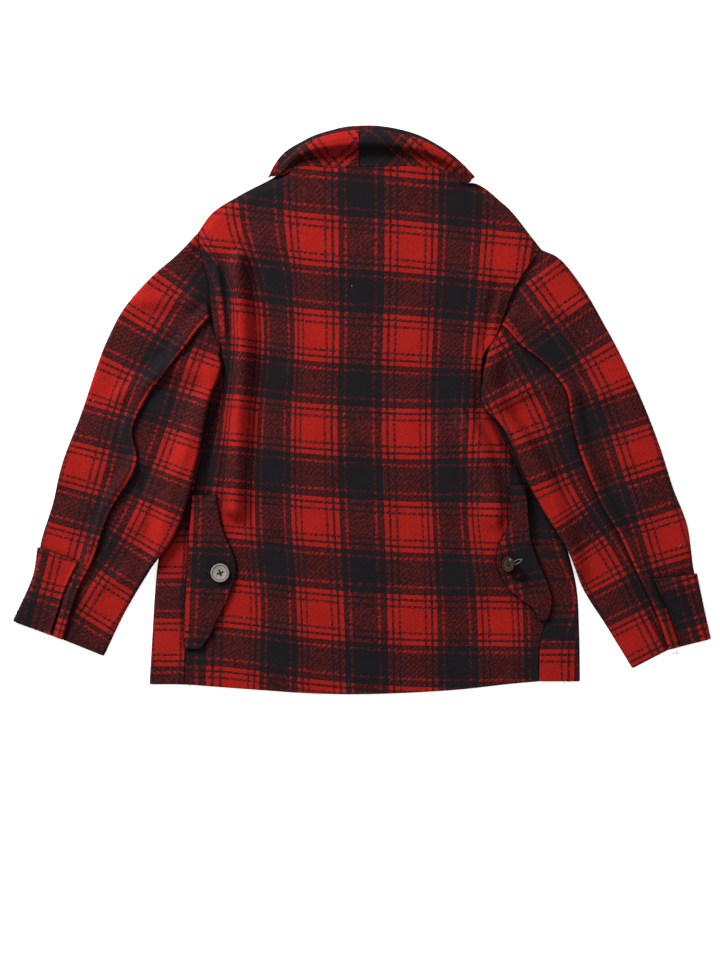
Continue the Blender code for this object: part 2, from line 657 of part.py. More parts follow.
def make_button(name, diameter, x, y, z, tilt, color):
    """A turned sew-through button with a raised rim and four holes."""
    radius = diameter / 2
    profile = [(0, 0), (radius - 1.6, 0), (radius, BUTTON_BEVEL), (radius, BUTTON_THICKNESS - 0.8),
               (radius - 0.8, BUTTON_THICKNESS), (radius - 2.2, BUTTON_THICKNESS),
               (radius - 3.2, BUTTON_THICKNESS - 1.2), (0, BUTTON_THICKNESS - 1.5)]
    bm = bmesh.new()
    verts = [bm.verts.new((r * MM, 0, h * MM)) for r, h in profile]
    edges = [bm.edges.new(pair) for pair in zip(verts, verts[1:])]
    bmesh.ops.spin(bm, geom=verts + edges, cent=(0, 0, 0), axis=(0, 0, 1),
                   angle=2 * math.pi, steps=20)
    bmesh.ops.remove_doubles(bm, verts=bm.verts[:], dist=0.00001)
    bmesh.ops.recalc_face_normals(bm, faces=bm.faces[:])
    mesh = bpy.data.meshes.new(name)
    bm.to_mesh(mesh)
    bm.free()
    button = add_object(name, mesh, make_material(name + "_horn", color, 0.35))
    reach = diameter * HOLE_REACH * MM
    for k in range(4):
        turn = math.radians(20 + 90 * k)
        bpy.ops.mesh.primitive_cylinder_add(
            vertices=8, radius=HOLE_RADIUS * MM, depth=4 * BUTTON_THICKNESS * MM,
            location=(reach * math.cos(turn), reach * math.sin(turn), 0))
        drill = bpy.context.object
        drill.name = name + "_drill_" + str(k)
        drill.hide_render = True
        drill.display_type = "WIRE"
        for owner in list(drill.users_collection):
            owner.objects.unlink(drill)
        cutters.objects.link(drill)
        drill.parent = button
        cut = button.modifiers.new("thread hole", "BOOLEAN")
        cut.operation = "DIFFERENCE"
        cut.object = drill
    button.location = (x * MM, y * MM, z * MM)
    button.rotation_euler = (0, math.radians(tilt), 0)
    mesh.shade_smooth()
    mesh.set_sharp_from_angle(angle=math.radians(40))
    return button


def make_buttons():
    x, y = BUTTON_PLACE_LEFT
    top = float(back_height(x, y)) + FLAP_STEP + CLOTH / 2
    make_button("button_left", GREY_BUTTON_DIAMETER, x, y, top + BUTTON_SHANK, 0, GREY_HORN)
    x, y = BUTTON_PLACE_RIGHT
    top = float(back_height(x, y)) + FLAP_STEP + CLOTH / 2
    tilt = math.radians(BUTTON_TILT)
    reach = BROWN_BUTTON_DIAMETER / 2 * math.sin(tilt) - BUTTON_BEVEL * math.cos(tilt)
    make_button("button_right", BROWN_BUTTON_DIAMETER, x, y, top + reach + BUTTON_SHANK,
                -BUTTON_TILT, BROWN_HORN)


for old in list(bpy.data.objects):
    bpy.data.objects.remove(old, do_unlink=True)
jacket = bpy.data.collections.new("hunting_jacket")
cutters = bpy.data.collections.new("cutters")
bpy.context.scene.collection.children.link(jacket)
bpy.context.scene.collection.children.link(cutters)

make_back()
for side_name in ("left", "right"):
    make_front(side_name)
    make_sleeve(side_name, "upper")
    make_sleeve(side_name, "under")
    make_cuff_tab(side_name)
    make_flap(side_name)
    make_collar_end(side_name)
make_collar()
make_buttons()
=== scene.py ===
import math

import bmesh
import bpy
import numpy as np
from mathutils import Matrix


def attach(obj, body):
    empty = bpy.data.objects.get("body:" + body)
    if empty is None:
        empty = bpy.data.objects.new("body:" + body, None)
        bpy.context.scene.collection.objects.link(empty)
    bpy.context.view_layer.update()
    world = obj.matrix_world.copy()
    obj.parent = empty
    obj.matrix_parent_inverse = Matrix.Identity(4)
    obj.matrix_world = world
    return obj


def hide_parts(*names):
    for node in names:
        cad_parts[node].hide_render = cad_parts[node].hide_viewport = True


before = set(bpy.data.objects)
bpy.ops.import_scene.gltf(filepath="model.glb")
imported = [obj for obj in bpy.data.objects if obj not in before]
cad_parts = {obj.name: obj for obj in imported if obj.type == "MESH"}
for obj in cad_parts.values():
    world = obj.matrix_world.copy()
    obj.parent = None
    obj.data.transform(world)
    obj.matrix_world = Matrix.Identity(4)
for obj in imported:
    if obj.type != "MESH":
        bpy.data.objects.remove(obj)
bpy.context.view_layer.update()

# Lengths in the tables are in millimetres, as in the jacket's CAD, and the same tables are used.
# Photo points are given in the photo's pixels, and plan() turns them into millimetres.
MM = 0.001
FINE = 1.0

CLOTH = 2.8
PLY_STEP = 3.3
FLAP_STEP = 4.0
BODY_DEPTH = 9.2
SLEEVE_DEPTH = 9.2
FLOOR_LAYER = CLOTH / 2
BACK_LAYER = BODY_DEPTH - CLOTH / 2
SHOULDER_LAYER = 1.5 * CLOTH + 0.3
FOLD_MARGIN = 17.0
SHOULDER_SLOPE = 14.0
SEAM_GAP = 0.4

LAP_HALF = 24.0
LAP_SLOPE = 26.0
LAP_STEP = CLOTH + 0.4
LAP_HEM = -389.5
WRAP_SPACING = 4.0
UNDER_ARM_TURN = 58.0
UNDER_ARM_ROOM = -2.2

REST_CLEARANCE = 1.0
REST_SLOPE = 27.0
REST_FULL = {"left": 84.0, "right": 44.0}
REST_FREE_BELOW = -245.0
REST_FREE_SLOPE = 30.0
SEAM_LAP = 5.0
FRONT_SEAM_GAP = 1.6
FRONT_SEAM_PLACE = 0.86
SEAM_RISE = 4.8
SEAM_EDGE = 3.6
SEAM_RISE_FLAT = 8.0
SEAM_RISE_END = 22.0
ARMHOLE_GAP = -0.3
ARMHOLE_BLEND_FROM = 0.8
ARMHOLE_LAP = 5.0
ARMHOLE_DIP_SPAN = (0.90, 0.97)
ARMHOLE_TUCK_SPAN = (0.95, 1.0)
DIP_PAST_SHOULDER = (6.0, 22.0)
TUCK_PAST_SHOULDER = (16.0, 28.0)
DIP_PAST_UNDER_ARM = (2.0, 10.0)
TUCK_PAST_UNDER_ARM = (12.0, 22.0)
SEAM_LAP_OUT = (0.84, 0.90)
SEAM_RISE_OUT = (0.92, 0.96)
NECK_SEAM_GAP = 2.2
NECK_GAP = -0.8

# The plaid's repeat, across and along the cloth, and the edge of a cloth's rounding
REPEAT = 133.0
REPEAT_THREADS = 70

SIDE_SEAM = {
    "left": [(-244, -378), (-242, -310), (-241, -244), (-238, -204), (-236, -160), (-232, -118),
             (-226, -84), (-215, -44), (-203, -6), (-193, 28), (-189, 60), (-198, 89)],
    "right": [(244, -374), (247, -315), (257, -280), (259, -257), (255, -240), (246, -220),
              (237, -196), (229, -164), (226, -118), (217, -84), (204, -56), (191, -30),
              (178, -2), (168, 26), (166, 52), (170, 78), (182, 95)]}
ARMHOLE = {
    "left": [(-198, 89), (-206, 127), (-210, 172), (-219, 208), (-226, 244)],
    "right": [(182, 95), (191, 115), (204, 151), (226, 192), (248, 221)]}
SHOULDER = {
    "left": [(-226, 244), (-208, 269), (-169, 295), (-125, 318), (-104, 330)],
    "right": [(147, 313), (198, 282), (233, 240), (248, 221)]}
BACK_NECK = [(-104, 330), (-84, 335), (-41, 333), (-3, 334), (43, 335), (64, 336), (92, 335),
             (105, 333), (128, 323), (147, 313)]
HEM = [(-292, -375), (-244, -379), (-151, -385), (-56, -391), (95, -388), (125, -386),
       (219, -376), (244, -374), (267, -374), (301, -365)]
EDGE = {
    "left": [(-292, -375), (-288, -306), (-284, -244), (-280, -206), (-271, -166), (-259, -124),
             (-243, -78), (-226, -30), (-212, 12), (-197, 54), (-200, 89)],
    "right": [(301, -365), (300, -306), (296, -243), (286, -200), (273, -158), (257, -117),
              (241, -84), (222, -52), (203, -24), (186, 2), (176, 28), (174, 52), (178, 78),
              (184, 95)]}
FRONT_NECK = {
    "left": [(-104, 330), (-85, 292), (-44, 252), (-1, 237), (LAP_HALF, 240)],
    "right": [(-LAP_HALF, 240), (-1, 237), (46, 248), (92, 280), (125, 302), (147, 313)]}

# Folds of the back. Columns: crest points (x, y), height, reach to the left, reach to the right
BACK_FOLDS = [
    ([(-172, 205), (-168, 150), (-164, 90), (-166, 40), (-170, -10), (-172, -70), (-175, -135)],
     12.0, 17, 24),
    ([(-158, 235), (-148, 150), (-144, 60), (-148, -60)], -2.0, 14, 20),
    ([(-200, 195), (-192, 130), (-189, 95)], 3.5, 10, 9),
    ([(188, 175), (178, 135), (173, 95), (165, 45), (161, -10)], -3.0, 14, 8),
    ([(192, 150), (184, 112)], 3.0, 8, 8),
    ([(150, -20), (168, -60), (180, -100), (186, -140)], 7.0, 34, 18),
    ([(-60, 332), (60, 332)], 2.1, 95, 95),
    ([(0, 250), (0, -390)], 0.8, 60, 60)]

# The deep hollows beside the body's side edges: points along each, how deep, how wide each way
HOLLOWS = [
    ([(-190, 95), (-187, 48), (-196, 7), (-206, -41), (-211, -85), (-213, -120)], 3.2, 13, 12),
    ([(176, 50), (180, 10), (191, -28), (214, -75), (228, -100), (240, -140), (246, -186)],
     3.2, 12, 13)]

# Sleeve stations from cuff to armhole.
# Columns: outer edge (x, y), back seam (x, y), inner edge (x, y)
STATIONS = {
    "left": [
        ((-477, -292), (-412, -316), (-355, -339)),
        ((-450, -231), (-391, -251), (-326, -279)),
        ((-441, -179), (-369, -204), (-292, -222)),
        ((-426, -131), (-347, -142), (-255, -170)),
        ((-412, -72), (-310, -76), (-235, -110)),
        ((-387, -7), (-315, -28), (-220, -41)),
        ((-365, 59), (-295, 18), (-208, 15)),
        ((-351, 95), (-273, 47), (-197.5, 41)),
        ((-328, 139), (-246, 82), (-192.5, 59)),
        ((-292, 181), (-229, 106), (-195.5, 71)),
        ((-256, 213), (-214, 127), (-198, 84)),
        ((-229, 242), (-208, 140), (-201, 95))],
    "right": [
        ((478, -316), (423, -330), (373, -356)),
        ((467, -266), (405, -279), (337, -297)),
        ((457, -215), (379, -224), (306, -248)),
        ((449, -159), (355, -172), (281, -189)),
        ((430, -109), (329, -128), (248, -135)),
        ((411, -50), (302, -63), (224, -90)),
        ((386, 14), (288, -10), (198, -30)),
        ((357, 76), (281, 26), (167, 7)),
        ((336, 115), (253, 62), (167, 44)),
        ((308, 164), (221, 88), (172.5, 73)),
        ((277, 206), (201, 116), (181.5, 91)),
        ((251, 220), (195, 124), (187, 102))]}

# Folds of the sleeves. Columns: crest points (x, y), height, reach on each side
SLEEVE_FOLDS = {
    "left": [
        ([(-330, 20), (-250, 60), (-215, 50)], 4.2, 22),
        ([(-420, -120), (-350, -100)], -2.2, 25),
        ([(-300, 150), (-235, 150)], 3.0, 18),
        ([(-300, -150), (-255, -60), (-235, 10)], 3.8, 24),
        ([(-306, -73), (-345, -112)], 3.0, 16),
        ([(-400, -260), (-330, -230)], 2.0, 20)],
    "right": [
        ([(330, 20), (230, 30), (190, 12)], 4.2, 22),
        ([(420, -110), (350, -90)], -2.2, 25),
        ([(300, 140), (240, 130)], 3.0, 18),
        ([(300, -150), (255, -90), (225, -40)], 3.8, 24),
        ([(430, -250), (360, -230)], 2.0, 20)]}

# Collar sections round the back of the neck, from the left shoulder to the right shoulder.
# Columns: seam (x, y), outer edge (x, y), height of the middle of the cloth at the seam, roll
COLLAR_SECTIONS = [
    ((-106.5, 331), (-124.5, 321.5), 8.2, 0.5),
    ((-95, 336), (-108, 346), 8.6, 3),
    ((-75, 337), (-79, 366), 9.8, 9),
    ((-41, 334.5), (-38, 381), 9.9, 11),
    ((-2.6, 335.5), (-2.6, 386), 9.9, 11),
    ((43, 336.5), (43, 383), 9.9, 11),
    ((80, 337), (84, 371), 9.9, 11),
    ((106, 335), (114, 354), 9.8, 7),
    ((129, 325), (136, 336), 9.0, 3),
    ((146, 313.5), (152.5, 318), 8.2, 0.5)]
# Columns: place from seam to outer edge, share of the roll
COLLAR_PROFILE = [(0, 0), (0.2, -0.1), (0.4, -0.12), (0.5, 0.3), (0.58, 0.9), (0.7, 1.05),
                  (0.86, 0.9), (1.0, 0.6)]
TOP_COLLAR_SHOW = 5.2
UNDER_COLLAR_SHORT = 2.2
COLLAR_MIDDLE = 4
# How far the ends of the under collar reach over the shoulders
COLLAR_LAP = {"left": (0.5, -4.5), "right": (-1.0, -3.0)}
COLLAR_LAP_REACH = 26.0
COLLAR_END = {
    "left": [(-86, 331), (-60, 320), (-30, 302), (-8, 290)],
    "right": [(8, 290), (34, 300), (76, 318), (124, 319)]}

# Pocket flaps. Columns: y, sewn edge x, free edge x
FLAP = {
    "left": [(-117, -233, -200), (-145, -235, -196), (-165, -237, -191), (-192, -238, -180),
             (-213, -240, -173), (-234, -241, -175), (-266, -243, -187), (-290, -244, -199),
             (-310, -244, -208), (-329, -243, -221)],
    "right": [(-103, 225, 204), (-123, 228, 204.5), (-142, 229, 206), (-164, 231, 201),
              (-184, 234, 190), (-199, 239, 186), (-213, 245, 186), (-227, 251, 192),
              (-246, 258, 203), (-262, 261, 220), (-276, 260, 238), (-290, 255, 243)]}

# Where the plaid's red squares lie on the back. Rows are photo heights, columns are how many
# repeats to the right of the square left of the middle.
BACK_COLUMNS = (-2.0, -1.42, -1.3, -1.0, 0.0, 1.0, 2.0, 2.6)
# Columns: photo y, then photo x for each of the columns above
BACK_ACROSS = [
    (140, 130, 172, 183, 212, 310, 412, 510, 568),
    (228, 130, 178, 188, 216, 311, 412, 507, 565),
    (285, 150, 204, 228, 240, 312, 411, 502, 552),
    (330, 160, 214, 231, 246, 313, 409, 497, 540),
    (425, 155, 215, 222, 238, 311, 408, 491, 532),
    (517, 140, 196, 207, 234, 313, 411, 489, 540),
    (605, 145, 190, 204, 240, 318, 413, 500, 548),
    (690, 145, 190, 203, 236, 321, 414, 503, 550)]
BACK_ROWS = (-1.2, 0.0, 1.0, 2.0, 3.0, 4.0, 5.0)
# Columns: photo x, then photo y for each of the rows above
BACK_ALONG = [
    (150, 112, 220, 318, 415, 508, 598, 688),
    (225, 117, 228, 324, 420, 513, 603, 690),
    (312, 126, 240, 336, 429, 521, 613, 703),
    (411, 134, 248, 342, 434, 527, 620, 711),
    (500, 142, 258, 349, 431, 530, 621, 712),
    (560, 148, 264, 354, 436, 532, 622, 712)]

# Lines through the middles of the red squares, in photo pixels, one square a point.
# The number is how many repeats the first point lies from square nought.
GRAIN_LINES = {
    "sleeve_left_upper": (-1, [(203, 219), (148, 297), (103, 382), (78.6, 467.5), (56, 549),
                               (33, 632), (8, 716)]),
    "sleeve_left_under": (-1, [(240, 300), (211, 376), (185, 455), (157, 526), (110, 605),
                               (62, 680)]),
    "sleeve_right_upper": (-1, [(507, 215), (562.4, 289), (614.5, 370.6), (643, 452), (670, 538),
                                (694, 622), (718, 706)]),
    "sleeve_right_under": (-1, [(474, 338), (517, 418), (551, 504), (592, 568), (630, 642),
                                (668, 716)]),
    "cuff_tab_left": (0, [(95, 485), (72, 575), (48, 668)]),
    "cuff_tab_right": (0, [(580, 491), (608, 581), (636, 671), (664, 761)]),
    "pocket_flap_left": (0, [(170, 426), (168, 519), (164, 612), (160, 705)]),
    "pocket_flap_right": (0, [(470, 430), (476, 523), (490, 614), (500, 706)])}

PEN_X = 361.5
PEN_Y = 410.0
PHOTO_SCALE = 1.38


def plan(points):
    """Photo pixels as plan points in millimetres."""
    return [((x - PEN_X) * PHOTO_SCALE, (PEN_Y - y) * PHOTO_SCALE) for x, y in points]


def smooth_step(value):
    t = np.clip(value, 0.0, 1.0)
    return t * t * (3.0 - 2.0 * t)


def fade_in(value, span):
    return smooth_step((value - span[0]) / (span[1] - span[0]))


def smooth_rows(keys, rows, at):
    """Rows of a table read at the values `at` of its rising keys, joined by smooth curves."""
    slope = np.gradient(rows, keys, axis=0)
    i = np.clip(np.searchsorted(keys, at, side="right") - 1, 0, len(keys) - 2)
    h = (keys[i + 1] - keys[i])[:, None]
    t = (at - keys[i])[:, None] / h
    return ((1 + 2 * t) * (1 - t) ** 2 * rows[i] + t * (1 - t) ** 2 * h * slope[i]
            + t * t * (3 - 2 * t) * rows[i + 1] + t * t * (t - 1) * h * slope[i + 1])


def lengths_along(points):
    return np.concatenate([[0.0], np.cumsum(np.linalg.norm(np.diff(points, axis=0), axis=1))])


def curve(points, where):
    """Points at shares `where` of the length of a smooth curve through the given points."""
    p = np.asarray(points, dtype=float)
    s = lengths_along(p)
    return smooth_rows(s, p, np.clip(np.asarray(where, dtype=float), 0.0, 1.0) * s[-1])


def edge_x(outline, y):
    dense = curve(outline, np.linspace(0, 1, 160))
    order = np.argsort(dense[:, 1])
    return np.interp(y, dense[order, 1], dense[order, 0])


def beside(x, y, line, upward=True):
    """Signed distance to a line of plan points, negative on its left, and the place along it.

    The place counts the line's points from nought, with shares in between.
    """
    p = np.asarray(line, dtype=float)
    a = p[:-1]
    d = p[1:] - a
    length = np.maximum(np.sum(d * d, axis=1), 1e-9)
    rel_x = np.asarray(x)[..., None] - a[:, 0]
    rel_y = np.asarray(y)[..., None] - a[:, 1]
    t = np.clip((rel_x * d[:, 0] + rel_y * d[:, 1]) / length, 0, 1)
    gap_x = rel_x - t * d[:, 0]
    gap_y = rel_y - t * d[:, 1]
    dist = np.hypot(gap_x, gap_y)
    k = np.argmin(dist, axis=-1)[..., None]
    near = np.take_along_axis(dist, k, axis=-1)[..., 0]
    side = np.take_along_axis(gap_x * d[:, 1] - gap_y * d[:, 0], k, axis=-1)[..., 0]
    place = k[..., 0] + np.take_along_axis(t, k, axis=-1)[..., 0]
    if upward:
        side = side * np.sign(p[-1, 1] - p[0, 1] + 1e-9)
    return near * np.where(side < 0, -1.0, 1.0), place


def fold_height(x, y, crest, height, reach_left, reach_right):
    """A soft ridge or trough along a crest line."""
    d, _ = beside(x, y, curve(crest, np.linspace(0, 1, 30)))
    reach = np.where(d < 0, reach_left, reach_right)
    return height * smooth_step(1.0 - np.abs(d) / reach)


def unevenness(x, y, size, seed):
    """Soft uneven ground between -1 and 1, with swells of the given size."""
    table = np.random.RandomState(seed).uniform(-1, 1, (64, 64))
    gx = np.asarray(x) / size + 400.0
    gy = np.asarray(y) / size + 400.0
    i = np.floor(gx).astype(int)
    j = np.floor(gy).astype(int)
    u = smooth_step(gx - i)
    v = smooth_step(gy - j)
    low = table[i % 64, j % 64] * (1 - u) + table[(i + 1) % 64, j % 64] * u
    high = table[i % 64, (j + 1) % 64] * (1 - u) + table[(i + 1) % 64, (j + 1) % 64] * u
    return low * (1 - v) + high * v


def hollow(x, y):
    """How far the cloth sinks in the hollows beside the body's side edges."""
    return sum(fold_height(x, y, *row) for row in HOLLOWS)


def back_height(x, y):
    """Height of the middle of the back's cloth over the surface."""
    z = BACK_LAYER + np.zeros_like(np.asarray(x, dtype=float))
    left = edge_x(SIDE_SEAM["left"] + ARMHOLE["left"][1:], y)
    right = edge_x(SIDE_SEAM["right"] + ARMHOLE["right"][1:], y)
    inside = smooth_step(np.minimum(x - left, right - x) / FOLD_MARGIN)
    for crest, height, reach_left, reach_right in BACK_FOLDS:
        z = z + inside * fold_height(x, y, crest, height, reach_left, reach_right)
    swell = 0.55 * unevenness(x, y, 47, 3) + 0.3 * unevenness(x, y, 21, 5)
    z = z + inside * (0.5 + swell) - hollow(x, y)
    for shoulder in SHOULDER.values():
        near = np.abs(beside(x, y, curve(shoulder, np.linspace(0, 1, 30)))[0])
        z = SHOULDER_LAYER + (z - SHOULDER_LAYER) * smooth_step(near / SHOULDER_SLOPE)
    return z


def patch(bottom, top, left, right, u, v):
    """Plan points of a four-sided panel at shares u and v, in straight rows."""
    b = curve(bottom, u)
    t = curve(top, u)
    lf = curve(left, v)[:, None]
    r = curve(right, v)[:, None]
    uu = np.asarray(u)[None, :, None]
    vv = np.asarray(v)[:, None, None]
    bulge_bottom = b[None] - ((1 - uu) * b[0] + uu * b[-1])
    bulge_top = t[None] - ((1 - uu) * t[0] + uu * t[-1])
    return (1 - uu) * lf + uu * r + (1 - vv) ** 2 * bulge_bottom + vv ** 3 * bulge_top


def offset_grid(grid, distance):
    n = np.cross(np.gradient(grid, axis=1), np.gradient(grid, axis=0))
    n /= np.maximum(np.linalg.norm(n, axis=2, keepdims=True), 1e-9)
    return grid + distance * n


def lowered_grid(grid, step):
    """The same grid let down so far that its cloth lies one step under, on slopes too."""
    n = np.cross(np.gradient(grid, axis=1), np.gradient(grid, axis=0))
    upright = np.abs(n[..., 2]) / np.maximum(np.linalg.norm(n, axis=2), 1e-9)
    low = grid.copy()
    low[..., 2] -= step / np.maximum(upright, 0.55)
    return low


def read_table(table, key, keys, at):
    """For each point, the value whose table entry, at that key, is `at`."""
    rows = np.array(table, dtype=float)
    lines = smooth_rows(rows[:, 0], rows[:, 1:], np.clip(key.ravel(), rows[0, 0], rows[-1, 0]))
    at = at.ravel()
    found = np.zeros(len(at))
    for k in range(len(keys) - 1):
        low = lines[:, k]
        share = (at - low) / (lines[:, k + 1] - low)
        value = keys[k] + (keys[k + 1] - keys[k]) * share
        first = k == 0
        found = np.where((share >= 0) | first, value, found)
    return found.reshape(key.shape)


def back_grain(x, y):
    """Place on the cloth, in repeats of the plaid, for points of the back."""
    px = x / PHOTO_SCALE + PEN_X
    py = PEN_Y - y / PHOTO_SCALE
    return read_table(BACK_ACROSS, py, BACK_COLUMNS, px), read_table(BACK_ALONG, px, BACK_ROWS, py)


def line_grain(name, x, y):
    """Place on the cloth, in repeats of the plaid, for points near a line of red squares."""
    first, points = GRAIN_LINES[name]
    dense = curve(plan(points), np.linspace(0, 1, 12 * len(points)))
    d, place = beside(x, y, dense, upward=False)
    centres = [int(np.argmin(np.hypot(*(dense - p).T))) for p in np.array(plan(points))]
    return -d / REPEAT, np.interp(place, centres, first + np.arange(len(points)))


# Materials

def node(tree, kind, **values):
    made = tree.nodes.new(kind)
    for key, value in values.items():
        setattr(made, key, value)
    return made


def maths(tree, operation, *inputs):
    """One sum on numbers or sockets."""
    made = node(tree, "ShaderNodeMath", operation=operation)
    for place, value in enumerate(inputs):
        if hasattr(value, "is_linked"):
            tree.links.new(value, made.inputs[place])
        else:
            made.inputs[place].default_value = value
    return made.outputs[0]


def blended(tree, share, low, high):
    """A colour between two colours or colour sockets."""
    made = node(tree, "ShaderNodeMix", data_type="RGBA")
    for socket, value in ((made.inputs[0], share), (made.inputs[6], low), (made.inputs[7], high)):
        if hasattr(value, "is_linked"):
            tree.links.new(value, socket)
        else:
            socket.default_value = value
    return made.outputs[2]


def noise(tree, where, size_mm, detail):
    """Noise between 0 and 1 with blobs of about the given size."""
    made = node(tree, "ShaderNodeTexNoise")
    tree.links.new(where, made.inputs["Vector"])
    made.inputs["Scale"].default_value = 1000.0 / size_mm
    made.inputs["Detail"].default_value = detail
    return made.outputs[0]


def new_material(name, color, roughness):
    material = bpy.data.materials.new(name)
    material.use_nodes = True
    shader = material.node_tree.nodes["Principled BSDF"]
    shader.inputs["Base Color"].default_value = color
    shader.inputs["Roughness"].default_value = roughness
    return material, material.node_tree, shader


# The stripe order in threads: where a stripe starts, and how much of it is red yarn
SETT = [(0, 1), (3, 0.12), (5, 1), (8, 0.3), (10, 1), (28, 0.34), (30, 1), (33, 0.08), (35, 1),
        (38, 0), (42, 0.5), (44, 0), (63, 0.46), (65, 0)]


def stripe(tree, place):
    """Red share of the thread at a place given in repeats, and the thread's number."""
    thread = maths(tree, "FLOOR", maths(tree, "MULTIPLY_ADD", place, REPEAT_THREADS, 19.0))
    share = maths(tree, "DIVIDE", maths(tree, "ADD", thread, 0.5), float(REPEAT_THREADS))
    ramp = node(tree, "ShaderNodeValToRGB")
    ramp.color_ramp.interpolation = "CONSTANT"
    ramp.color_ramp.elements.remove(ramp.color_ramp.elements[1])
    for start, red in SETT:
        at = start / REPEAT_THREADS
        stop = ramp.color_ramp.elements[0] if start == 0 else ramp.color_ramp.elements.new(at)
        stop.color = (red, red, red, 1)
    tree.links.new(maths(tree, "FRACT", share), ramp.inputs[0])
    return ramp.outputs[0], thread


def broken(tree, share, uneven):
    """A part share of red broken up into flecks; none and all stay as they are."""
    spread = maths(tree, "MULTIPLY", maths(tree, "MULTIPLY", share, maths(tree, "SUBTRACT", 1.0, share)),
                   maths(tree, "MULTIPLY", uneven, 3.2))
    return maths(tree, "MINIMUM", maths(tree, "MAXIMUM", maths(tree, "ADD", share, spread), 0.0), 1.0)


def plaid_wool():
    """Fulled twill in red and black yarn, with its nap over the threads; its colour is darkened by
    painted shade in gaps, creases and under overhangs.
    """
    material, tree, shader = new_material("plaid_wool", (0.3, 0.02, 0.02, 1), 0.92)
    cloth = node(tree, "ShaderNodeUVMap", uv_map="cloth")
    split = node(tree, "ShaderNodeSeparateXYZ")
    tree.links.new(cloth.outputs[0], split.inputs[0])
    where = node(tree, "ShaderNodeTexCoord").outputs["Object"]
    nap = noise(tree, where, 1.1, 2.0)
    tuft = noise(tree, where, 3.2, 2.0)
    worn = noise(tree, where, 38.0, 3.0)
    wander = maths(tree, "MULTIPLY", maths(tree, "SUBTRACT", tuft, 0.5), 0.012)
    across = maths(tree, "ADD", split.outputs[0], wander)
    along = maths(tree, "ADD", split.outputs[1], wander)
    warp, warp_thread = stripe(tree, across)
    weft, weft_thread = stripe(tree, along)
    step = maths(tree, "MULTIPLY", maths(tree, "ADD", warp_thread, weft_thread), math.pi / 2)
    over = maths(tree, "MULTIPLY_ADD", maths(tree, "SINE", maths(tree, "ADD", step, 0.785)), 0.5, 0.5)
    mottle = maths(tree, "ADD", maths(tree, "MULTIPLY_ADD", nap, 2.2, -1.1),
                   maths(tree, "MULTIPLY_ADD", tuft, 3.0, -1.5))
    uneven = maths(tree, "ADD", mottle, maths(tree, "MULTIPLY_ADD", over, 0.8, -0.4))
    both = broken(tree, maths(tree, "MULTIPLY", warp, weft), uneven)
    either = broken(tree, maths(tree, "MAXIMUM", warp, weft), uneven)
    one = maths(tree, "MAXIMUM", maths(tree, "SUBTRACT", either, both), 0.0)
    shown = maths(tree, "ADD", maths(tree, "MULTIPLY", warp, over),
                  maths(tree, "MULTIPLY", weft, maths(tree, "SUBTRACT", 1.0, over)))
    shown = maths(tree, "MULTIPLY_ADD", shown, 0.5, mottle)
    speck = node(tree, "ShaderNodeMapRange", interpolation_type="SMOOTHSTEP")
    speck.inputs[1].default_value = -0.05
    speck.inputs[2].default_value = 0.9
    tree.links.new(shown, speck.inputs[0])
    dark = blended(tree, nap, (0.0065, 0.006, 0.008, 1), (0.019, 0.0165, 0.0195, 1))
    bright = blended(tree, tuft, (0.3, 0.008, 0.0065, 1), (0.52, 0.0195, 0.014, 1))
    mixed = blended(tree, speck.outputs[0], (0.032, 0.0085, 0.0095, 1), (0.135, 0.0125, 0.0125, 1))
    color = blended(tree, both, blended(tree, one, dark, mixed), bright)
    # Painted shade: ambient occlusion within 35 mm darkens the wool's colour in gaps, creases and under
    # overhangs, multiplied in with the broad random tone of worn.
    gap_shade = node(tree, "ShaderNodeAmbientOcclusion", samples=6)
    gap_shade.inputs["Distance"].default_value = 0.035
    gap_shade_factor = maths(tree, "POWER", gap_shade.outputs["AO"], 2.2)
    shade = maths(tree, "MULTIPLY", maths(tree, "MULTIPLY_ADD", worn, 0.32, 0.86), gap_shade_factor)
    shaded_color = node(tree, "ShaderNodeVectorMath", operation="SCALE")
    tree.links.new(color, shaded_color.inputs[0])
    tree.links.new(shade, shaded_color.inputs["Scale"])
    tree.links.new(shaded_color.outputs[0], shader.inputs["Base Color"])
    shader.inputs["Sheen Weight"].default_value = 0.07
    shader.inputs["Sheen Roughness"].default_value = 0.5
    shader.inputs["Sheen Tint"].default_value = (0.9, 0.55, 0.52, 1)
    shader.inputs["Specular IOR Level"].default_value = 0.07
    height = maths(tree, "ADD", maths(tree, "MULTIPLY", nap, 0.6),
                   maths(tree, "ADD", maths(tree, "MULTIPLY", tuft, 0.6),
                         maths(tree, "MULTIPLY", over, 0.25)))
    bump = node(tree, "ShaderNodeBump")
    bump.inputs["Strength"].default_value = 0.5
    bump.inputs["Distance"].default_value = 0.0007
    tree.links.new(height, bump.inputs["Height"])
    tree.links.new(bump.outputs[0], shader.inputs["Normal"])
    return material


def horn(name, low, high, roughness):
    """Polished horn with soft cloudy streaks, darkened by painted shade in its groove and thread holes.
    """
    material, tree, shader = new_material(name, high, roughness)
    where = node(tree, "ShaderNodeTexCoord").outputs["Object"]
    streak = noise(tree, where, 4.0, 3.0)
    # Painted shade: ambient occlusion within 1.8 mm darkens the horn's colour in the button's groove and
    # thread holes.
    gap_shade = node(tree, "ShaderNodeAmbientOcclusion", samples=6)
    gap_shade.inputs["Distance"].default_value = 0.0018
    tree.links.new(blended(tree, streak, low, high), gap_shade.inputs["Color"])
    tree.links.new(gap_shade.outputs["Color"], shader.inputs["Base Color"])
    bump = node(tree, "ShaderNodeBump")
    bump.inputs["Strength"].default_value = 0.15
    bump.inputs["Distance"].default_value = 0.0003
    tree.links.new(streak, bump.inputs["Height"])
    tree.links.new(bump.outputs[0], shader.inputs["Normal"])
    return material


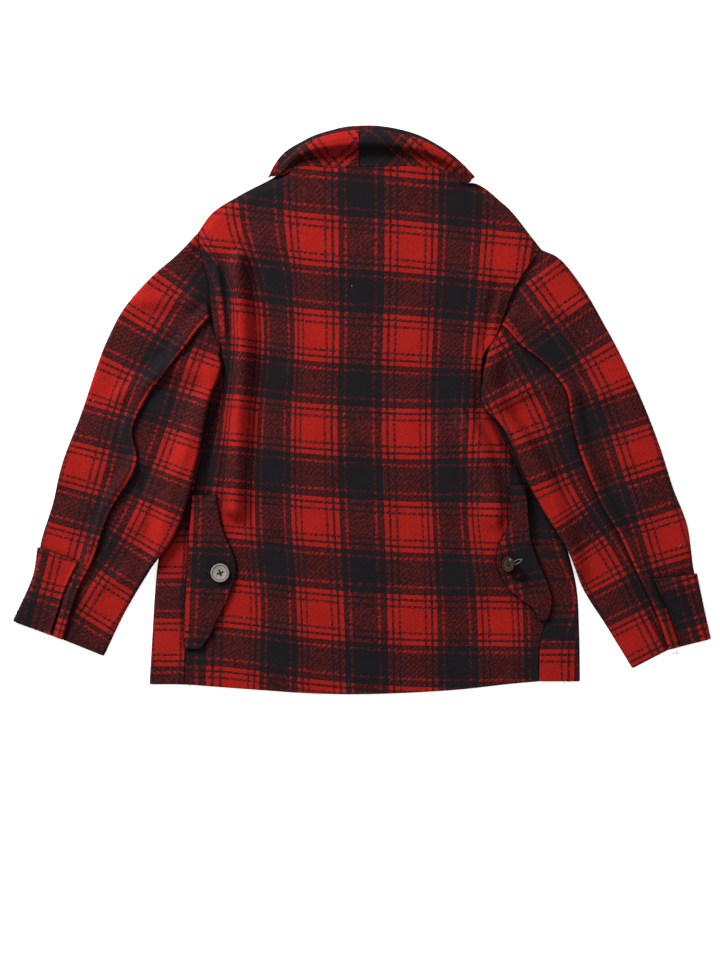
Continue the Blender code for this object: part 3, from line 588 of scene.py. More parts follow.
def yarn(name, low, high):
    """Matt spun thread."""
    material, tree, shader = new_material(name, high, 0.85)
    where = node(tree, "ShaderNodeTexCoord").outputs["Object"]
    tree.links.new(blended(tree, noise(tree, where, 0.8, 2.0), low, high),
                   shader.inputs["Base Color"])
    return material


WOOL = plaid_wool()
GREY_HORN = horn("grey_horn", (0.24, 0.21, 0.19, 1), (0.5, 0.45, 0.42, 1), 0.3)
BROWN_HORN = horn("brown_horn", (0.02, 0.012, 0.008, 1), (0.085, 0.045, 0.022, 1), 0.2)
DARK_THREAD = yarn("dark_thread", (0.006, 0.005, 0.006, 1), (0.02, 0.016, 0.018, 1))
GREY_THREAD = yarn("grey_thread", (0.12, 0.12, 0.13, 1), (0.3, 0.3, 0.32, 1))
LINT = yarn("lint", (0.35, 0.33, 0.32, 1), (0.6, 0.58, 0.56, 1))


# Cloth

def fringed(sheet):
    """The sheet with a few more rows and columns close to its edges, where its wall is rounded."""
    for axis in (0, 1):
        sheet = np.moveaxis(sheet, axis, 0)
        for flip in (False, True):
            if flip:
                sheet = sheet[::-1]
            reach = float(np.mean(np.linalg.norm((sheet[1] - sheet[0])[:, :3], axis=1)))
            extra = [sheet[0] + (sheet[1] - sheet[0]) * (d / reach)
                     for d in (0.12, 0.45, 0.95, 1.5) if d < reach * 0.9]
            sheet = np.concatenate([sheet[:1], np.array(extra).reshape((-1,) + sheet.shape[1:]),
                                    sheet[1:]])
            if flip:
                sheet = sheet[::-1]
        sheet = np.moveaxis(sheet, 0, axis)
    return sheet


def edge_distance(points, axis):
    """Distance of each point from the nearer end of its own row or column."""
    step = np.linalg.norm(np.diff(points, axis=axis), axis=2)
    pad = [(0, 0), (0, 0)]
    pad[axis] = (1, 0)
    run = np.pad(np.cumsum(step, axis=axis), pad)
    whole = run[-1:] if axis == 0 else run[:, -1:]
    return np.minimum(run, whole - run)


def shell(name, grid, u, v):
    """A closed wall of cloth with soft round edges round the grid's middle surface."""
    sheet = fringed(np.dstack([grid, u, v]))
    points = sheet[..., :3]
    rows, columns = points.shape[:2]
    normal = np.cross(np.gradient(points, axis=1), np.gradient(points, axis=0))
    normal /= np.maximum(np.linalg.norm(normal, axis=2, keepdims=True), 1e-9)
    inset = np.minimum(edge_distance(points, 0), edge_distance(points, 1))
    share = 1 - np.clip(inset / (CLOTH / 2), 0, 1)
    half = (CLOTH / 2) * np.sqrt(np.maximum(1 - share * share, 0))[..., None]
    rim = np.ones((rows, columns), dtype=bool)
    rim[1:-1, 1:-1] = False
    upper = points + normal * half
    lower = points - normal * half
    index_up = np.arange(rows * columns).reshape(rows, columns)
    index_low = np.where(rim, index_up, -1)
    index_low[~rim] = rows * columns + np.arange(int((~rim).sum()))
    verts = np.concatenate([upper.reshape(-1, 3), lower[~rim]])
    uv = np.concatenate([sheet[..., 3:].reshape(-1, 2), sheet[..., 3:][~rim]])
    a, b = index_up, index_low
    top = np.stack([a[:-1, :-1], a[:-1, 1:], a[1:, 1:], a[1:, :-1]], axis=-1).reshape(-1, 4)
    low = np.stack([b[:-1, :-1], b[1:, :-1], b[1:, 1:], b[:-1, 1:]], axis=-1).reshape(-1, 4)
    mesh = bpy.data.meshes.new(name)
    mesh.from_pydata((verts * MM).tolist(), [], np.concatenate([top, low]).tolist())
    layer = mesh.uv_layers.new(name="cloth")
    loops = np.zeros(len(mesh.loops), dtype=int)
    mesh.loops.foreach_get("vertex_index", loops)
    layer.data.foreach_set("uv", uv[loops].ravel())
    mesh.shade_smooth()
    mesh.validate()
    return mesh


def cut_size(grid):
    """Width, length and area of a panel's flat cut, in metres and square metres."""
    width = np.linalg.norm(np.diff(grid, axis=1), axis=2).sum(axis=1).max()
    length = np.linalg.norm(np.diff(grid, axis=0), axis=2).sum(axis=0).max()
    side = grid[:-1, 1:] - grid[:-1, :-1]
    up = grid[1:, :-1] - grid[:-1, :-1]
    area = np.linalg.norm(np.cross(side, up), axis=2).sum()
    return (width * MM, length * MM), min(area, width * length) * MM * MM


def add_piece(name, mesh, material):
    piece = bpy.data.objects.new(name, mesh)
    bpy.context.scene.collection.objects.link(piece)
    mesh.materials.append(material)
    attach(piece, "root")
    return piece


cloth_cuts = {}


def cloth_piece(name, grid, u, v, rests_on):
    """A panel of the jacket in place of its CAD node."""
    piece = add_piece(name + "_cloth", shell(name + "_cloth", grid, u, v), WOOL)
    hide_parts(name)
    flat, area = cut_size(grid)
    cloth_cuts[name] = (piece, flat, area, rests_on, [])
    return piece


def run_from(grid, column):
    """Distance along each row from a column, positive towards higher columns."""
    step = np.linalg.norm(np.diff(grid, axis=1), axis=2)
    run = np.pad(np.cumsum(step, axis=1), ((0, 0), (1, 0)))
    return run - run[:, column:column + 1]


def along_seam(name_side, dx):
    return [(x + dx, y) for x, y in SIDE_SEAM[name_side] + ARMHOLE[name_side][1:]]


def make_back():
    half = SEAM_GAP / 2
    left = along_seam("left", half)
    right = along_seam("right", -half)
    top = SHOULDER["left"] + BACK_NECK[1:] + SHOULDER["right"][1:]
    top = [left[-1]] + top[1:-1] + [right[-1]]
    hem = [left[0]] + HEM[2:7] + [right[0]]
    flat = patch(hem, top, left, right, np.linspace(0, 1, int(170 * FINE)),
                 np.linspace(0, 1, int(210 * FINE)))
    x, y = flat[..., 0], flat[..., 1]
    u, v = back_grain(x, y)
    cloth_piece("back", np.dstack([flat, back_height(x, y)]), u, v, ["front_left", "front_right"])


def walk(line, distance):
    step = lengths_along(line)
    return np.stack([np.interp(distance, step, line[:, k]) for k in (0, 1)], axis=-1)


def make_front(side):
    """A front: its floor panel, with the wrap round the side joined on."""
    left = side == "left"
    inward = 1 if left else -1
    seam = SIDE_SEAM[side] + ARMHOLE[side][1:]
    shoulder = SHOULDER[side] if left else SHOULDER[side][::-1]
    neck = FRONT_NECK[side] if left else FRONT_NECK[side][::-1]
    under_arm = EDGE[side][-1][1]
    lap_x = LAP_HALF * inward
    shares = np.linspace(0, 1, int(150 * FINE))
    seam_points = curve(seam, shares)
    side_line = np.array([(float(edge_x(EDGE[side], y)), y) if y < under_arm else (x, y)
                          for x, y in seam_points])
    lap = [(lap_x, LAP_HEM), (lap_x, neck[-1][1])]
    outline = HEM if left else HEM[::-1]
    hem = [tuple(side_line[0])] + [p for p in outline[1:] if (lap_x - p[0]) * inward > 8] + [lap[0]]
    spots = curve(seam, np.linspace(0, 1, 40))
    coarse = [(float(edge_x(EDGE[side], y)), y) if y < under_arm else (x, y) for x, y in spots]
    dense_u = np.linspace(0, 1, 161)
    dense = patch(hem, shoulder + neck[1:], coarse, lap, dense_u, shares)
    dense = dense + (side_line - dense[:, 0])[:, None] * (1 - dense_u)[None, :, None]
    outer = BODY_DEPTH / 2
    middle = outer - CLOTH / 2
    half_turn = math.pi * middle
    grid = []
    for (seam_x, y), line in zip(seam_points, dense):
        turned = float(smooth_step((under_arm + 4 - y) / UNDER_ARM_TURN))
        room = UNDER_ARM_ROOM / 2 * float(smooth_step(1 - (under_arm - y) / UNDER_ARM_TURN / 1.5))
        run = max(abs(seam_x - line[0][0]) - room - SEAM_GAP / 2 - outer, 1.0)
        places = np.concatenate([half_turn + run * np.linspace(1, 0.12, 9),
                                 half_turn * np.linspace(1, 0, 9)])
        even = np.linspace(half_turn + run, 0, len(places))
        wide = float(smooth_step(run / 14.0))
        places = wide * places + (1 - wide) * even
        start = outer * math.sin(min(turned * places[0] / middle, math.pi / 2))
        row = []
        for i, a in enumerate(places):
            s = turned * a - (1 - turned) * WRAP_SPACING * i * 7 / (len(places) - 1)
            if s > half_turn:
                x = line[0][0] + inward * (start + s - half_turn)
                row.append((x, line[0][1], BACK_LAYER - float(hollow(x, line[0][1]))))
            elif s > 0:
                turn = s / middle
                row.append((line[0][0] + inward * (start - middle * math.sin(turn)), line[0][1],
                            outer - middle * math.cos(turn)))
            else:
                px, py = walk(line, start - s)
                row.append((px, py, FLOOR_LAYER))
        last = start + (1 - turned) * WRAP_SPACING * 7
        width = lengths_along(line)[-1]
        for distance in np.linspace(last, width, int(60 * FINE) + 1)[1:]:
            px, py = walk(line, distance)
            z = FLOOR_LAYER
            if not left:
                z += LAP_STEP * float(smooth_step((LAP_HALF + LAP_SLOPE - px) / (LAP_SLOPE - 3)))
            row.append((px, py, z))
        grid.append(row)
    grid = np.array(grid)
    run = run_from(grid, 0)
    y = grid[..., 1]
    if left:
        u = (run - 25) / REPEAT + 0.45 * smooth_step((y + 150) / 60)
        v = (-199 - y) / 121
    else:
        above = smooth_step((y + 317) / 3)
        upper = smooth_step((y + 230) / 40)
        u = (run - 12) / REPEAT + 0.48 * above
        v = (-352 - y) / 129 - 0.1 - 0.12 * above + 0.3 * upper
    cloth_piece("front_" + side, grid, u, v, ["floor"])


def rest_lift(side, x, y):
    """How high a sleeve's underside lies: on the floor, or on the body's side edge."""
    sign = 1 if side == "left" else -1
    inside = (x - edge_x(EDGE[side], y)) * sign
    share = smooth_step((inside + REST_SLOPE) / (REST_SLOPE - 1))
    below = smooth_step((EDGE[side][-1][1] - y) / REST_FULL[side])
    hem_side = smooth_step((y - REST_FREE_BELOW) / REST_FREE_SLOPE)
    return (BODY_DEPTH + REST_CLEARANCE) * share * below * hem_side


def sleeve_height(side, x, y):
    """Height of the middle of the sleeve's top layer."""
    z = rest_lift(side, x, y) + SLEEVE_DEPTH - CLOTH / 2
    for crest, height, reach in SLEEVE_FOLDS[side]:
        z = z + fold_height(x, y, crest, height, reach, reach)
    return z + 0.45 * unevenness(x, y, 33, 7) + 0.25 * unevenness(x, y, 15, 9)


def sleeve_lines(side, count):
    """Smooth outer edge, back seam and inner edge of a sleeve, cuff to armhole."""
    keys = np.linspace(0, 1, len(STATIONS[side]))
    at = np.linspace(0, 1, count)
    return [smooth_rows(keys, np.array([row[k] for row in STATIONS[side]], dtype=float), at)
            for k in range(3)], at


def chain_points(outer, seam, inner, s):
    """Plan points at distances s along the two straight runs of every section."""
    first = np.linalg.norm(seam - outer, axis=1)[:, None]
    second = np.linalg.norm(inner - seam, axis=1)[:, None]
    a = np.minimum(s / first, 1)[..., None]
    b = np.maximum((s - first) / second, 0)[..., None]
    return outer[:, None] + (seam - outer)[:, None] * a + (inner - seam)[:, None] * b


def sleeve_grid(side, part):
    """Middle surface of one sleeve piece: rings round the sleeve, from cuff to armhole."""
    rows = int(130 * FINE)
    (outer, seam, inner), where = sleeve_lines(side, rows)
    first = np.linalg.norm(seam - outer, axis=1)
    width = first + np.linalg.norm(inner - seam, axis=1)
    share = np.linspace(0, 1, 21)
    line = ARMHOLE[side][::-1]
    room = ARMHOLE_GAP + UNDER_ARM_ROOM * share ** 2
    sign = -1 if side == "left" else 1
    tuck = fade_in(where, ARMHOLE_TUCK_SPAN)[:, None]
    dip = fade_in(where, ARMHOLE_DIP_SPAN)[:, None]
    lap_out = SEAM_LAP - (SEAM_LAP + SEAM_GAP) * fade_in(where, SEAM_LAP_OUT)
    rise_out = 1 - fade_in(where, SEAM_RISE_OUT)
    hole = curve(line, share) + np.stack([sign * room, 0 * room], axis=1)
    shift = hole - chain_points(outer[-1:], seam[-1:], inner[-1:], share[None] * width[-1])[0]
    amount = smooth_step((where - ARMHOLE_BLEND_FROM) / (1 - ARMHOLE_BLEND_FROM))[:, None]
    radius = SLEEVE_DEPTH / 2
    middle = radius - CLOTH / 2
    turns = np.radians(np.linspace(0, 180, 13)[1:-1])
    front_seam = width * FRONT_SEAM_PLACE
    ones = np.ones(rows)
    places, high_share, rise = [], [], []

    def add(s, high, up=0.0):
        places.append(s * ones)
        high_share.append(high)
        rise.append(up)

    if part == "upper":
        for d in (0.0, 1.5, 3.0, 5.0, SEAM_RISE_FLAT, 10.5, 13, 15.5, 18, 20):
            up = SEAM_RISE * float(smooth_step((SEAM_RISE_END - d) / (SEAM_RISE_END - SEAM_RISE_FLAT)))
            add(first - d, 1.0, up)
        for f in np.linspace(1, 0, int(30 * FINE)):
            add(radius + (first - SEAM_RISE_END - radius) * f, 1.0)
        for a in turns:
            add(radius - middle * np.sin(a), (1 + math.cos(a)) / 2)
        for f in np.linspace(0, 1, int(30 * FINE)):
            add(radius + (front_seam - FRONT_SEAM_GAP / 2 - radius) * f, 0.0)
    else:
        start = first - lap_out
        for f in np.linspace(0, 1, int(34 * FINE)):
            add(start + (width - radius - start) * f, 1.0)
        for a in turns:
            add(width - radius + middle * np.sin(a), (1 + math.cos(a)) / 2)
        for f in np.linspace(0, 1, int(12 * FINE)):
            add(width - radius + (front_seam + FRONT_SEAM_GAP / 2 - width + radius) * f, 0.0)
    s = np.stack(places, axis=1)
    flat = chain_points(outer, seam, inner, s)
    along = s / width[:, None]
    for k in (0, 1):
        flat[..., k] += amount * np.interp(along, share, shift[:, k])
    on_top = np.array(high_share)[None, :]
    left_over = width[:, None] - s
    tuck = tuck * fade_in(s, TUCK_PAST_SHOULDER) * fade_in(left_over, TUCK_PAST_UNDER_ARM)
    dip = dip * fade_in(s, DIP_PAST_SHOULDER) * fade_in(left_over, DIP_PAST_UNDER_ARM)
    flat[..., 0] -= sign * tuck * on_top * ARMHOLE_LAP
    x, y = flat[..., 0], flat[..., 1]
    low = rest_lift(side, x, y) + FLOOR_LAYER
    high = sleeve_height(side, x, y)
    high = high + dip * (BACK_LAYER - PLY_STEP - high)
    z = low + (high - low) * on_top + np.array(rise)[None, :] * rise_out[:, None]
    top_columns = high_share.count(1.0)
    return np.dstack([flat, z]), top_columns


def sleeve_grain(name, grid, top_columns):
    """Place on the cloth: from the plan on top, then on along the rings round the edge."""
    u, v = line_grain(name, grid[..., 0], grid[..., 1])
    edge = top_columns - 1
    run = run_from(grid, edge)
    direction = np.sign(u[:, edge] - u[:, edge - 6])[:, None]
    beyond = np.arange(grid.shape[1])[None, :] > edge
    u = np.where(beyond, u[:, edge:edge + 1] + direction * run / REPEAT, u)
    v = np.where(beyond, v[:, edge:edge + 1], v)
    return u, v


def make_sleeve(side, part):
    name = "sleeve_" + side + "_" + part
    grid, top_columns = sleeve_grid(side, part)
    u, v = sleeve_grain(name, grid, top_columns)
    if part == "upper":
        # The seam's raised edge shows red along its length, as in the photo.
        u = np.where(run_from(grid, 0) < SEAM_EDGE, np.round(u), u)
    cloth_piece(name, grid, u, v, ["floor", "front_" + side])
    return grid, top_columns


def make_cuff_tab(side, sleeve, top_columns):
    """A tab over the outer half of the cuff, moved out from the sleeve's own points."""
    rows = int(round(len(sleeve) * 4 / 24))
    first = int(np.argmax(run_from(sleeve, 0)[0] > 15.0))
    last = top_columns + 10
    sign = 1 if side == "left" else -1
    part = sleeve[:rows, first:last]
    grid = offset_grid(part, -(PLY_STEP + 0.3) * sign)
    grid[..., 2] = np.maximum(grid[..., 2], CLOTH / 2 + 0.05)
    u, v = sleeve_grain("cuff_tab_" + side, grid, top_columns - first)
    cloth_piece("cuff_tab_" + side, grid, u, v, ["sleeve_" + side + "_upper"])


def collar_grid(count):
    """Middle surface of the under collar, from the left shoulder to the right shoulder."""
    table = np.array([(*seam, *edge, z, roll) for seam, edge, z, roll in COLLAR_SECTIONS])
    s = lengths_along(table[:, [0, 1, 4]])
    s /= s[-1]
    half = count // 2
    where = np.concatenate([np.linspace(0, s[COLLAR_MIDDLE], half + 1),
                            np.linspace(s[COLLAR_MIDDLE], 1, half + 1)[1:]])
    rows = smooth_rows(s, table, where)
    neck = curve(BACK_NECK, np.linspace(0, 1, 200))
    rows[:, 1] = np.interp(rows[:, 0], neck[:, 0], neck[:, 1]) + NECK_GAP
    profile = np.array(COLLAR_PROFILE, dtype=float)
    place = np.linspace(0, 1, int(44 * FINE))
    share = smooth_rows(profile[:, 0], profile[:, 1:], place)[:, 0]
    x = rows[:, 0] + (rows[:, 2] - rows[:, 0]) * place[:, None]
    y = rows[:, 1] + (rows[:, 3] - rows[:, 1]) * place[:, None]
    z = rows[:, 4] + rows[:, 5] * share[:, None]
    return np.dstack([x, y, z])


def bias_grain(x, y, centre, turn, u0, v0):
    """Place on cloth whose threads are turned against the plan."""
    cx, cy = plan([centre])[0]
    c, s = math.cos(math.radians(turn)), math.sin(math.radians(turn))
    return (u0 + ((x - cx) * c + (y - cy) * s) / REPEAT,
            v0 + (-(x - cx) * s + (y - cy) * c) / REPEAT)


def make_collar():
    count = int(150 * FINE) // 2 * 2
    grid = collar_grid(count)
    middle = count // 2
    short = max(1, int(UNDER_COLLAR_SHORT * FINE))
    left = grid[:-short, :middle + 1].copy()
    right = grid[:-short, middle:].copy()
    left[:, -1, 0] -= SEAM_GAP / 2
    right[:, 0, 0] += SEAM_GAP / 2
    for part, end, way in ((left, left[0, 0, 0], COLLAR_LAP["left"]),
                           (right, right[0, -1, 0], COLLAR_LAP["right"])):
        near = smooth_step(1 - np.abs(part[..., 0] - end) / COLLAR_LAP_REACH)
        part[..., 0] += near * way[0]
        part[..., 1] += near * way[1]
        part[..., 2] += near * 0.4
    u, v = bias_grain(left[..., 0], left[..., 1], (336, 141), 40, 0.0, 0.0)
    cloth_piece("collar_under_left", left, u, v, ["collar_top", "back"])
    u, v = bias_grain(right[..., 0], right[..., 1], (371, 152), -40, 0.5, 0.5)
    cloth_piece("collar_under_right", right, u, v, ["collar_top", "back"])
    top = grid.copy()
    out = top[-1] - top[-2]
    out /= np.linalg.norm(out, axis=1, keepdims=True)
    reach = TOP_COLLAR_SHOW * smooth_step((np.linspace(0, 1, len(top)) - 0.8) / 0.2)
    top += out[None] * reach[:, None, None]
    low = lowered_grid(top, PLY_STEP)
    u, v = bias_grain(low[..., 0], low[..., 1], (360, 100), 0, 1.12, 0.92)
    cloth_piece("collar_top", low, u, v, ["floor"])


def make_collar_end(side):
    """The collar's front end, which lies inside the neck opening, under the back."""
    left = side == "left"
    neck = FRONT_NECK["left"][:4] if left else FRONT_NECK["right"][::-1][:5]
    inner = [(x + (NECK_SEAM_GAP if left else -NECK_SEAM_GAP), y + 1.6) for x, y in neck]
    outer = COLLAR_END[side] if left else COLLAR_END[side][::-1]
    inner[-1] = (-4.0 if left else 4.0, inner[-1][1])
    flat = patch(inner, outer, [inner[0], outer[0]], [inner[-1], outer[-1]],
                 np.linspace(0, 1, int(50 * FINE)), np.linspace(0, 1, int(20 * FINE)))
    u, v = bias_grain(flat[..., 0], flat[..., 1], (360, 180), 35, 0.2, 0.3)
    z = np.full(flat.shape[:2], FLOOR_LAYER)
    cloth_piece("collar_end_" + side, np.dstack([flat, z]), u, v, ["floor"])


def make_flap(side):
    rows = sorted(FLAP[side])
    at = np.linspace(0, 1, int(110 * FINE))
    sewn = curve([(x, y) for y, x, _ in rows], at)
    free = curve([(x, y) for y, _, x in rows], at)
    across = np.linspace(0, 1, int(36 * FINE))[None, :, None]
    flat = sewn[:, None] * (1 - across) + free[:, None] * across
    x, y = flat[..., 0], flat[..., 1]
    grid = np.dstack([flat, back_height(x, y) + FLAP_STEP])
    u, v = line_grain("pocket_flap_" + side, x, y)
    cloth_piece("pocket_flap_" + side, grid, u, v, ["back"])


# Buttons

# Steps from the edge of a turned face to its middle: how far in, how far up, as sawn on a lathe
BUTTON_FACE = [(0.35, 0.75), (0.75, 0.25), (0.5, -0.15), (0.45, -1.15), (0.5, -0.15), (0.4, 0.35),
               (0.5, 0.1), (1.2, -0.1), (1.0, -0.35)]
BUTTON_BACK = [(0.7, 0.9), (1.5, 0.5)]


def turned_face(up, steps):
    """Insets one end face of the cylinder in edit mode, ring after ring."""
    bpy.ops.object.mode_set(mode="EDIT")
    bpy.ops.mesh.select_mode(type="FACE")
    bpy.ops.mesh.select_all(action="DESELECT")
    bpy.ops.object.mode_set(mode="OBJECT")
    for face in bpy.context.object.data.polygons:
        face.select = face.normal.z * up > 0.9
    bpy.ops.object.mode_set(mode="EDIT")
    for inward, rise in steps:
        bpy.ops.mesh.inset(thickness=inward * MM, depth=rise * MM)
    bpy.ops.object.mode_set(mode="OBJECT")


def button_mesh(name, diameter, thickness):
    """A turned sew-through button: raised rim, groove, dished middle and four holes."""
    under = sum(rise for _, rise in BUTTON_BACK)
    side = thickness - under - 1.0
    bpy.ops.object.select_all(action="DESELECT")
    bpy.ops.mesh.primitive_cylinder_add(vertices=64, radius=diameter / 2 * MM, depth=side * MM,
                                        location=(0, 0, (under + side / 2) * MM))
    button = bpy.context.object
    button.name = name
    button.data.name = name
    turned_face(1, BUTTON_FACE)
    turned_face(-1, BUTTON_BACK)
    bpy.ops.object.transform_apply(location=True)
    holes = []
    for k in range(4):
        turn = math.radians(20 + 90 * k)
        reach = diameter * 0.147 * MM
        spot = (reach * math.cos(turn), reach * math.sin(turn))
        holes.append(spot)
        bpy.ops.mesh.primitive_cylinder_add(vertices=20, radius=1.3 * MM, depth=0.03,
                                            location=(spot[0], spot[1], 0))
        drill = bpy.context.object
        cut = button.modifiers.new("thread hole", "BOOLEAN")
        cut.operation = "DIFFERENCE"
        cut.object = drill
        bpy.context.view_layer.objects.active = button
        bpy.ops.object.modifier_apply(modifier=cut.name)
        bpy.data.objects.remove(drill, do_unlink=True)
    return button, holes


def place_mesh(piece, place, tilt):
    """Turns a mesh about Y and moves it, with the object left at the origin."""
    c, s = math.cos(math.radians(tilt)), math.sin(math.radians(tilt))
    for vert in piece.data.vertices:
        x, y, z = vert.co
        vert.co = (x * c + z * s + place[0] * MM, y + place[1] * MM, z * c - x * s + place[2] * MM)


def strands(name, lines, radius, material):
    """Several round strands as one piece, each a line given a thickness."""
    line_data = bpy.data.curves.new(name, "CURVE")
    line_data.dimensions = "3D"
    line_data.bevel_depth = radius
    line_data.bevel_resolution = 1
    line_data.use_fill_caps = True
    for line in lines:
        spline = line_data.splines.new("POLY")
        spline.points.add(len(line) - 1)
        for point, place in zip(spline.points, line):
            point.co = (*place, 1.0)
    piece = bpy.data.objects.new(name, line_data)
    bpy.context.scene.collection.objects.link(piece)
    bpy.ops.object.select_all(action="DESELECT")
    piece.select_set(True)
    bpy.context.view_layer.objects.active = piece
    bpy.ops.object.convert(target="MESH")
    bpy.ops.object.mode_set(mode="EDIT")
    bpy.ops.mesh.select_all(action="SELECT")
    bpy.ops.mesh.remove_doubles(threshold=0.000002)
    bpy.ops.mesh.normals_make_consistent(inside=False)
    bpy.ops.object.mode_set(mode="OBJECT")
    piece.data.shade_smooth()
    piece.data.materials.clear()
    piece.data.materials.append(material)
    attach(piece, "root")
    return piece


def make_button(side, diameter, place, tilt, material):
    """A button with its crossed sewing threads."""
    button, holes = button_mesh("button_" + side + "_horn", diameter, 4.0)
    place_mesh(button, place, tilt)
    button.data.materials.clear()
    button.data.materials.append(material)
    button.data.shade_smooth()
    button.data.set_sharp_from_angle(angle=math.radians(38))
    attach(button, "root")
    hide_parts("button_" + side)
    lines = []
    for a, b in ((0, 2), (1, 3)):
        for shift in (-0.45, 0.0, 0.45):
            ends = np.array([holes[a], holes[b]])
            go = (ends[1] - ends[0]) / np.linalg.norm(ends[1] - ends[0])
            beside_go = np.array([-go[1], go[0]]) * shift * MM
            t = np.linspace(0, 1, 13)
            spot = ends[0] + (ends[1] - ends[0]) * t[:, None] + beside_go
            z = (2.7 + 0.55 * np.sin(math.pi * t) - 2.0 * smooth_step((0.1 - t) / 0.1)
                 - 2.0 * smooth_step((t - 0.9) / 0.1) + (0.25 if a else 0.0)) * MM
            lines.append(np.column_stack([spot, z]))
    threads = strands("button_" + side + "_thread", lines, 0.28 * MM, DARK_THREAD)
    place_mesh(threads, place, tilt)
    return button


def make_buttonhole(side, start, end, height, width, material):
    """The worked lips of a buttonhole: two rows of close stitches that meet at both ends."""
    a, b = np.array(plan([start, end]))
    go = b - a
    length = np.linalg.norm(go)
    go /= length
    across = np.array([-go[1], go[0]])
    lines = []
    for lip in (-1, 1):
        t = np.linspace(0, 1, 26)
        bulge = width / 2 * np.sin(math.pi * t) ** 0.7 * lip
        flat = a + go * (t * length)[:, None] + across * bulge[:, None]
        z = height(flat[:, 0], flat[:, 1]) + CLOTH / 2 + 0.15
        lines.append(np.column_stack([flat, z]) * MM)
    return strands("buttonhole_" + side, lines, 0.55 * MM, material)


def make_buttons():
    flap_top = lambda x, y: back_height(x, y) + FLAP_STEP
    x, y = -194.3, -224.1
    z = float(flap_top(x, y)) + CLOTH / 2 + 0.1
    make_button("left", 25.6, (x, y, z), 0, GREY_HORN)
    x, y = 202.7, -212.1
    tilt = math.radians(43)
    z = float(flap_top(x, y)) + CLOTH / 2 + 10.2 * math.sin(tilt) - 1.2 * math.cos(tilt)
    make_button("right", 20.4, (x, y, z), -43, BROWN_HORN)
    make_buttonhole("left", (205, 569.5), (213, 574), flap_top, 1.6, DARK_THREAD)
    make_buttonhole("right", (511.5, 564), (521.5, 559), flap_top, 4.6, GREY_THREAD)


# Lint and loose threads. Columns: photo place, length and heading of each, in mm and degrees
LINT_PLACES = [((677, 547), 5.5, 20), ((668, 628), 5.0, -35), ((510, 591), 4.0, 60),
               ((301, 371), 4.5, 10), ((419, 231), 4.0, -50), ((352, 288), 3.2, 80),
               ((93, 402), 4.5, 35), ((244, 617), 3.5, -15), ((586, 333), 4.2, 50)]
LOOSE_ENDS = [((566, 679), 7.0, -60), ((564, 680), 5.0, -110), ((672, 652), 8.0, -35),
              ((676, 650), 6.0, -80), ((190, 683), 5.0, -100)]


def curled(place, length, heading, z):
    """A short fibre that bends as it lies."""
    (x, y), = plan([place])
    t = np.linspace(0, 1, 9)
    way = np.radians(heading + 55 * t)
    flat = np.cumsum(np.stack([np.cos(way), np.sin(way)], axis=1), axis=0) * length / len(t)
    return np.column_stack([x + flat[:, 0], y + flat[:, 1], z + 0.8 * t * (1 - t)]) * MM


def make_lint():
    bits = []
    for (px, py), length, heading in LINT_PLACES:
        (x, y), = plan([(px, py)])
        side = "left" if x < 0 else "right"
        on_back = abs(x) < 215
        z = float(back_height(x, y)) if on_back else float(sleeve_height(side, x, y))
        bits.append(curled((px, py), length, heading, z + CLOTH / 2 + 0.2))
    strands("lint", bits, 0.16 * MM, LINT)
    ends = [curled(place, length, heading, 3.4) for place, length, heading in LOOSE_ENDS]
    strands("loose_threads", ends, 0.3 * MM, DARK_THREAD)


# Nap

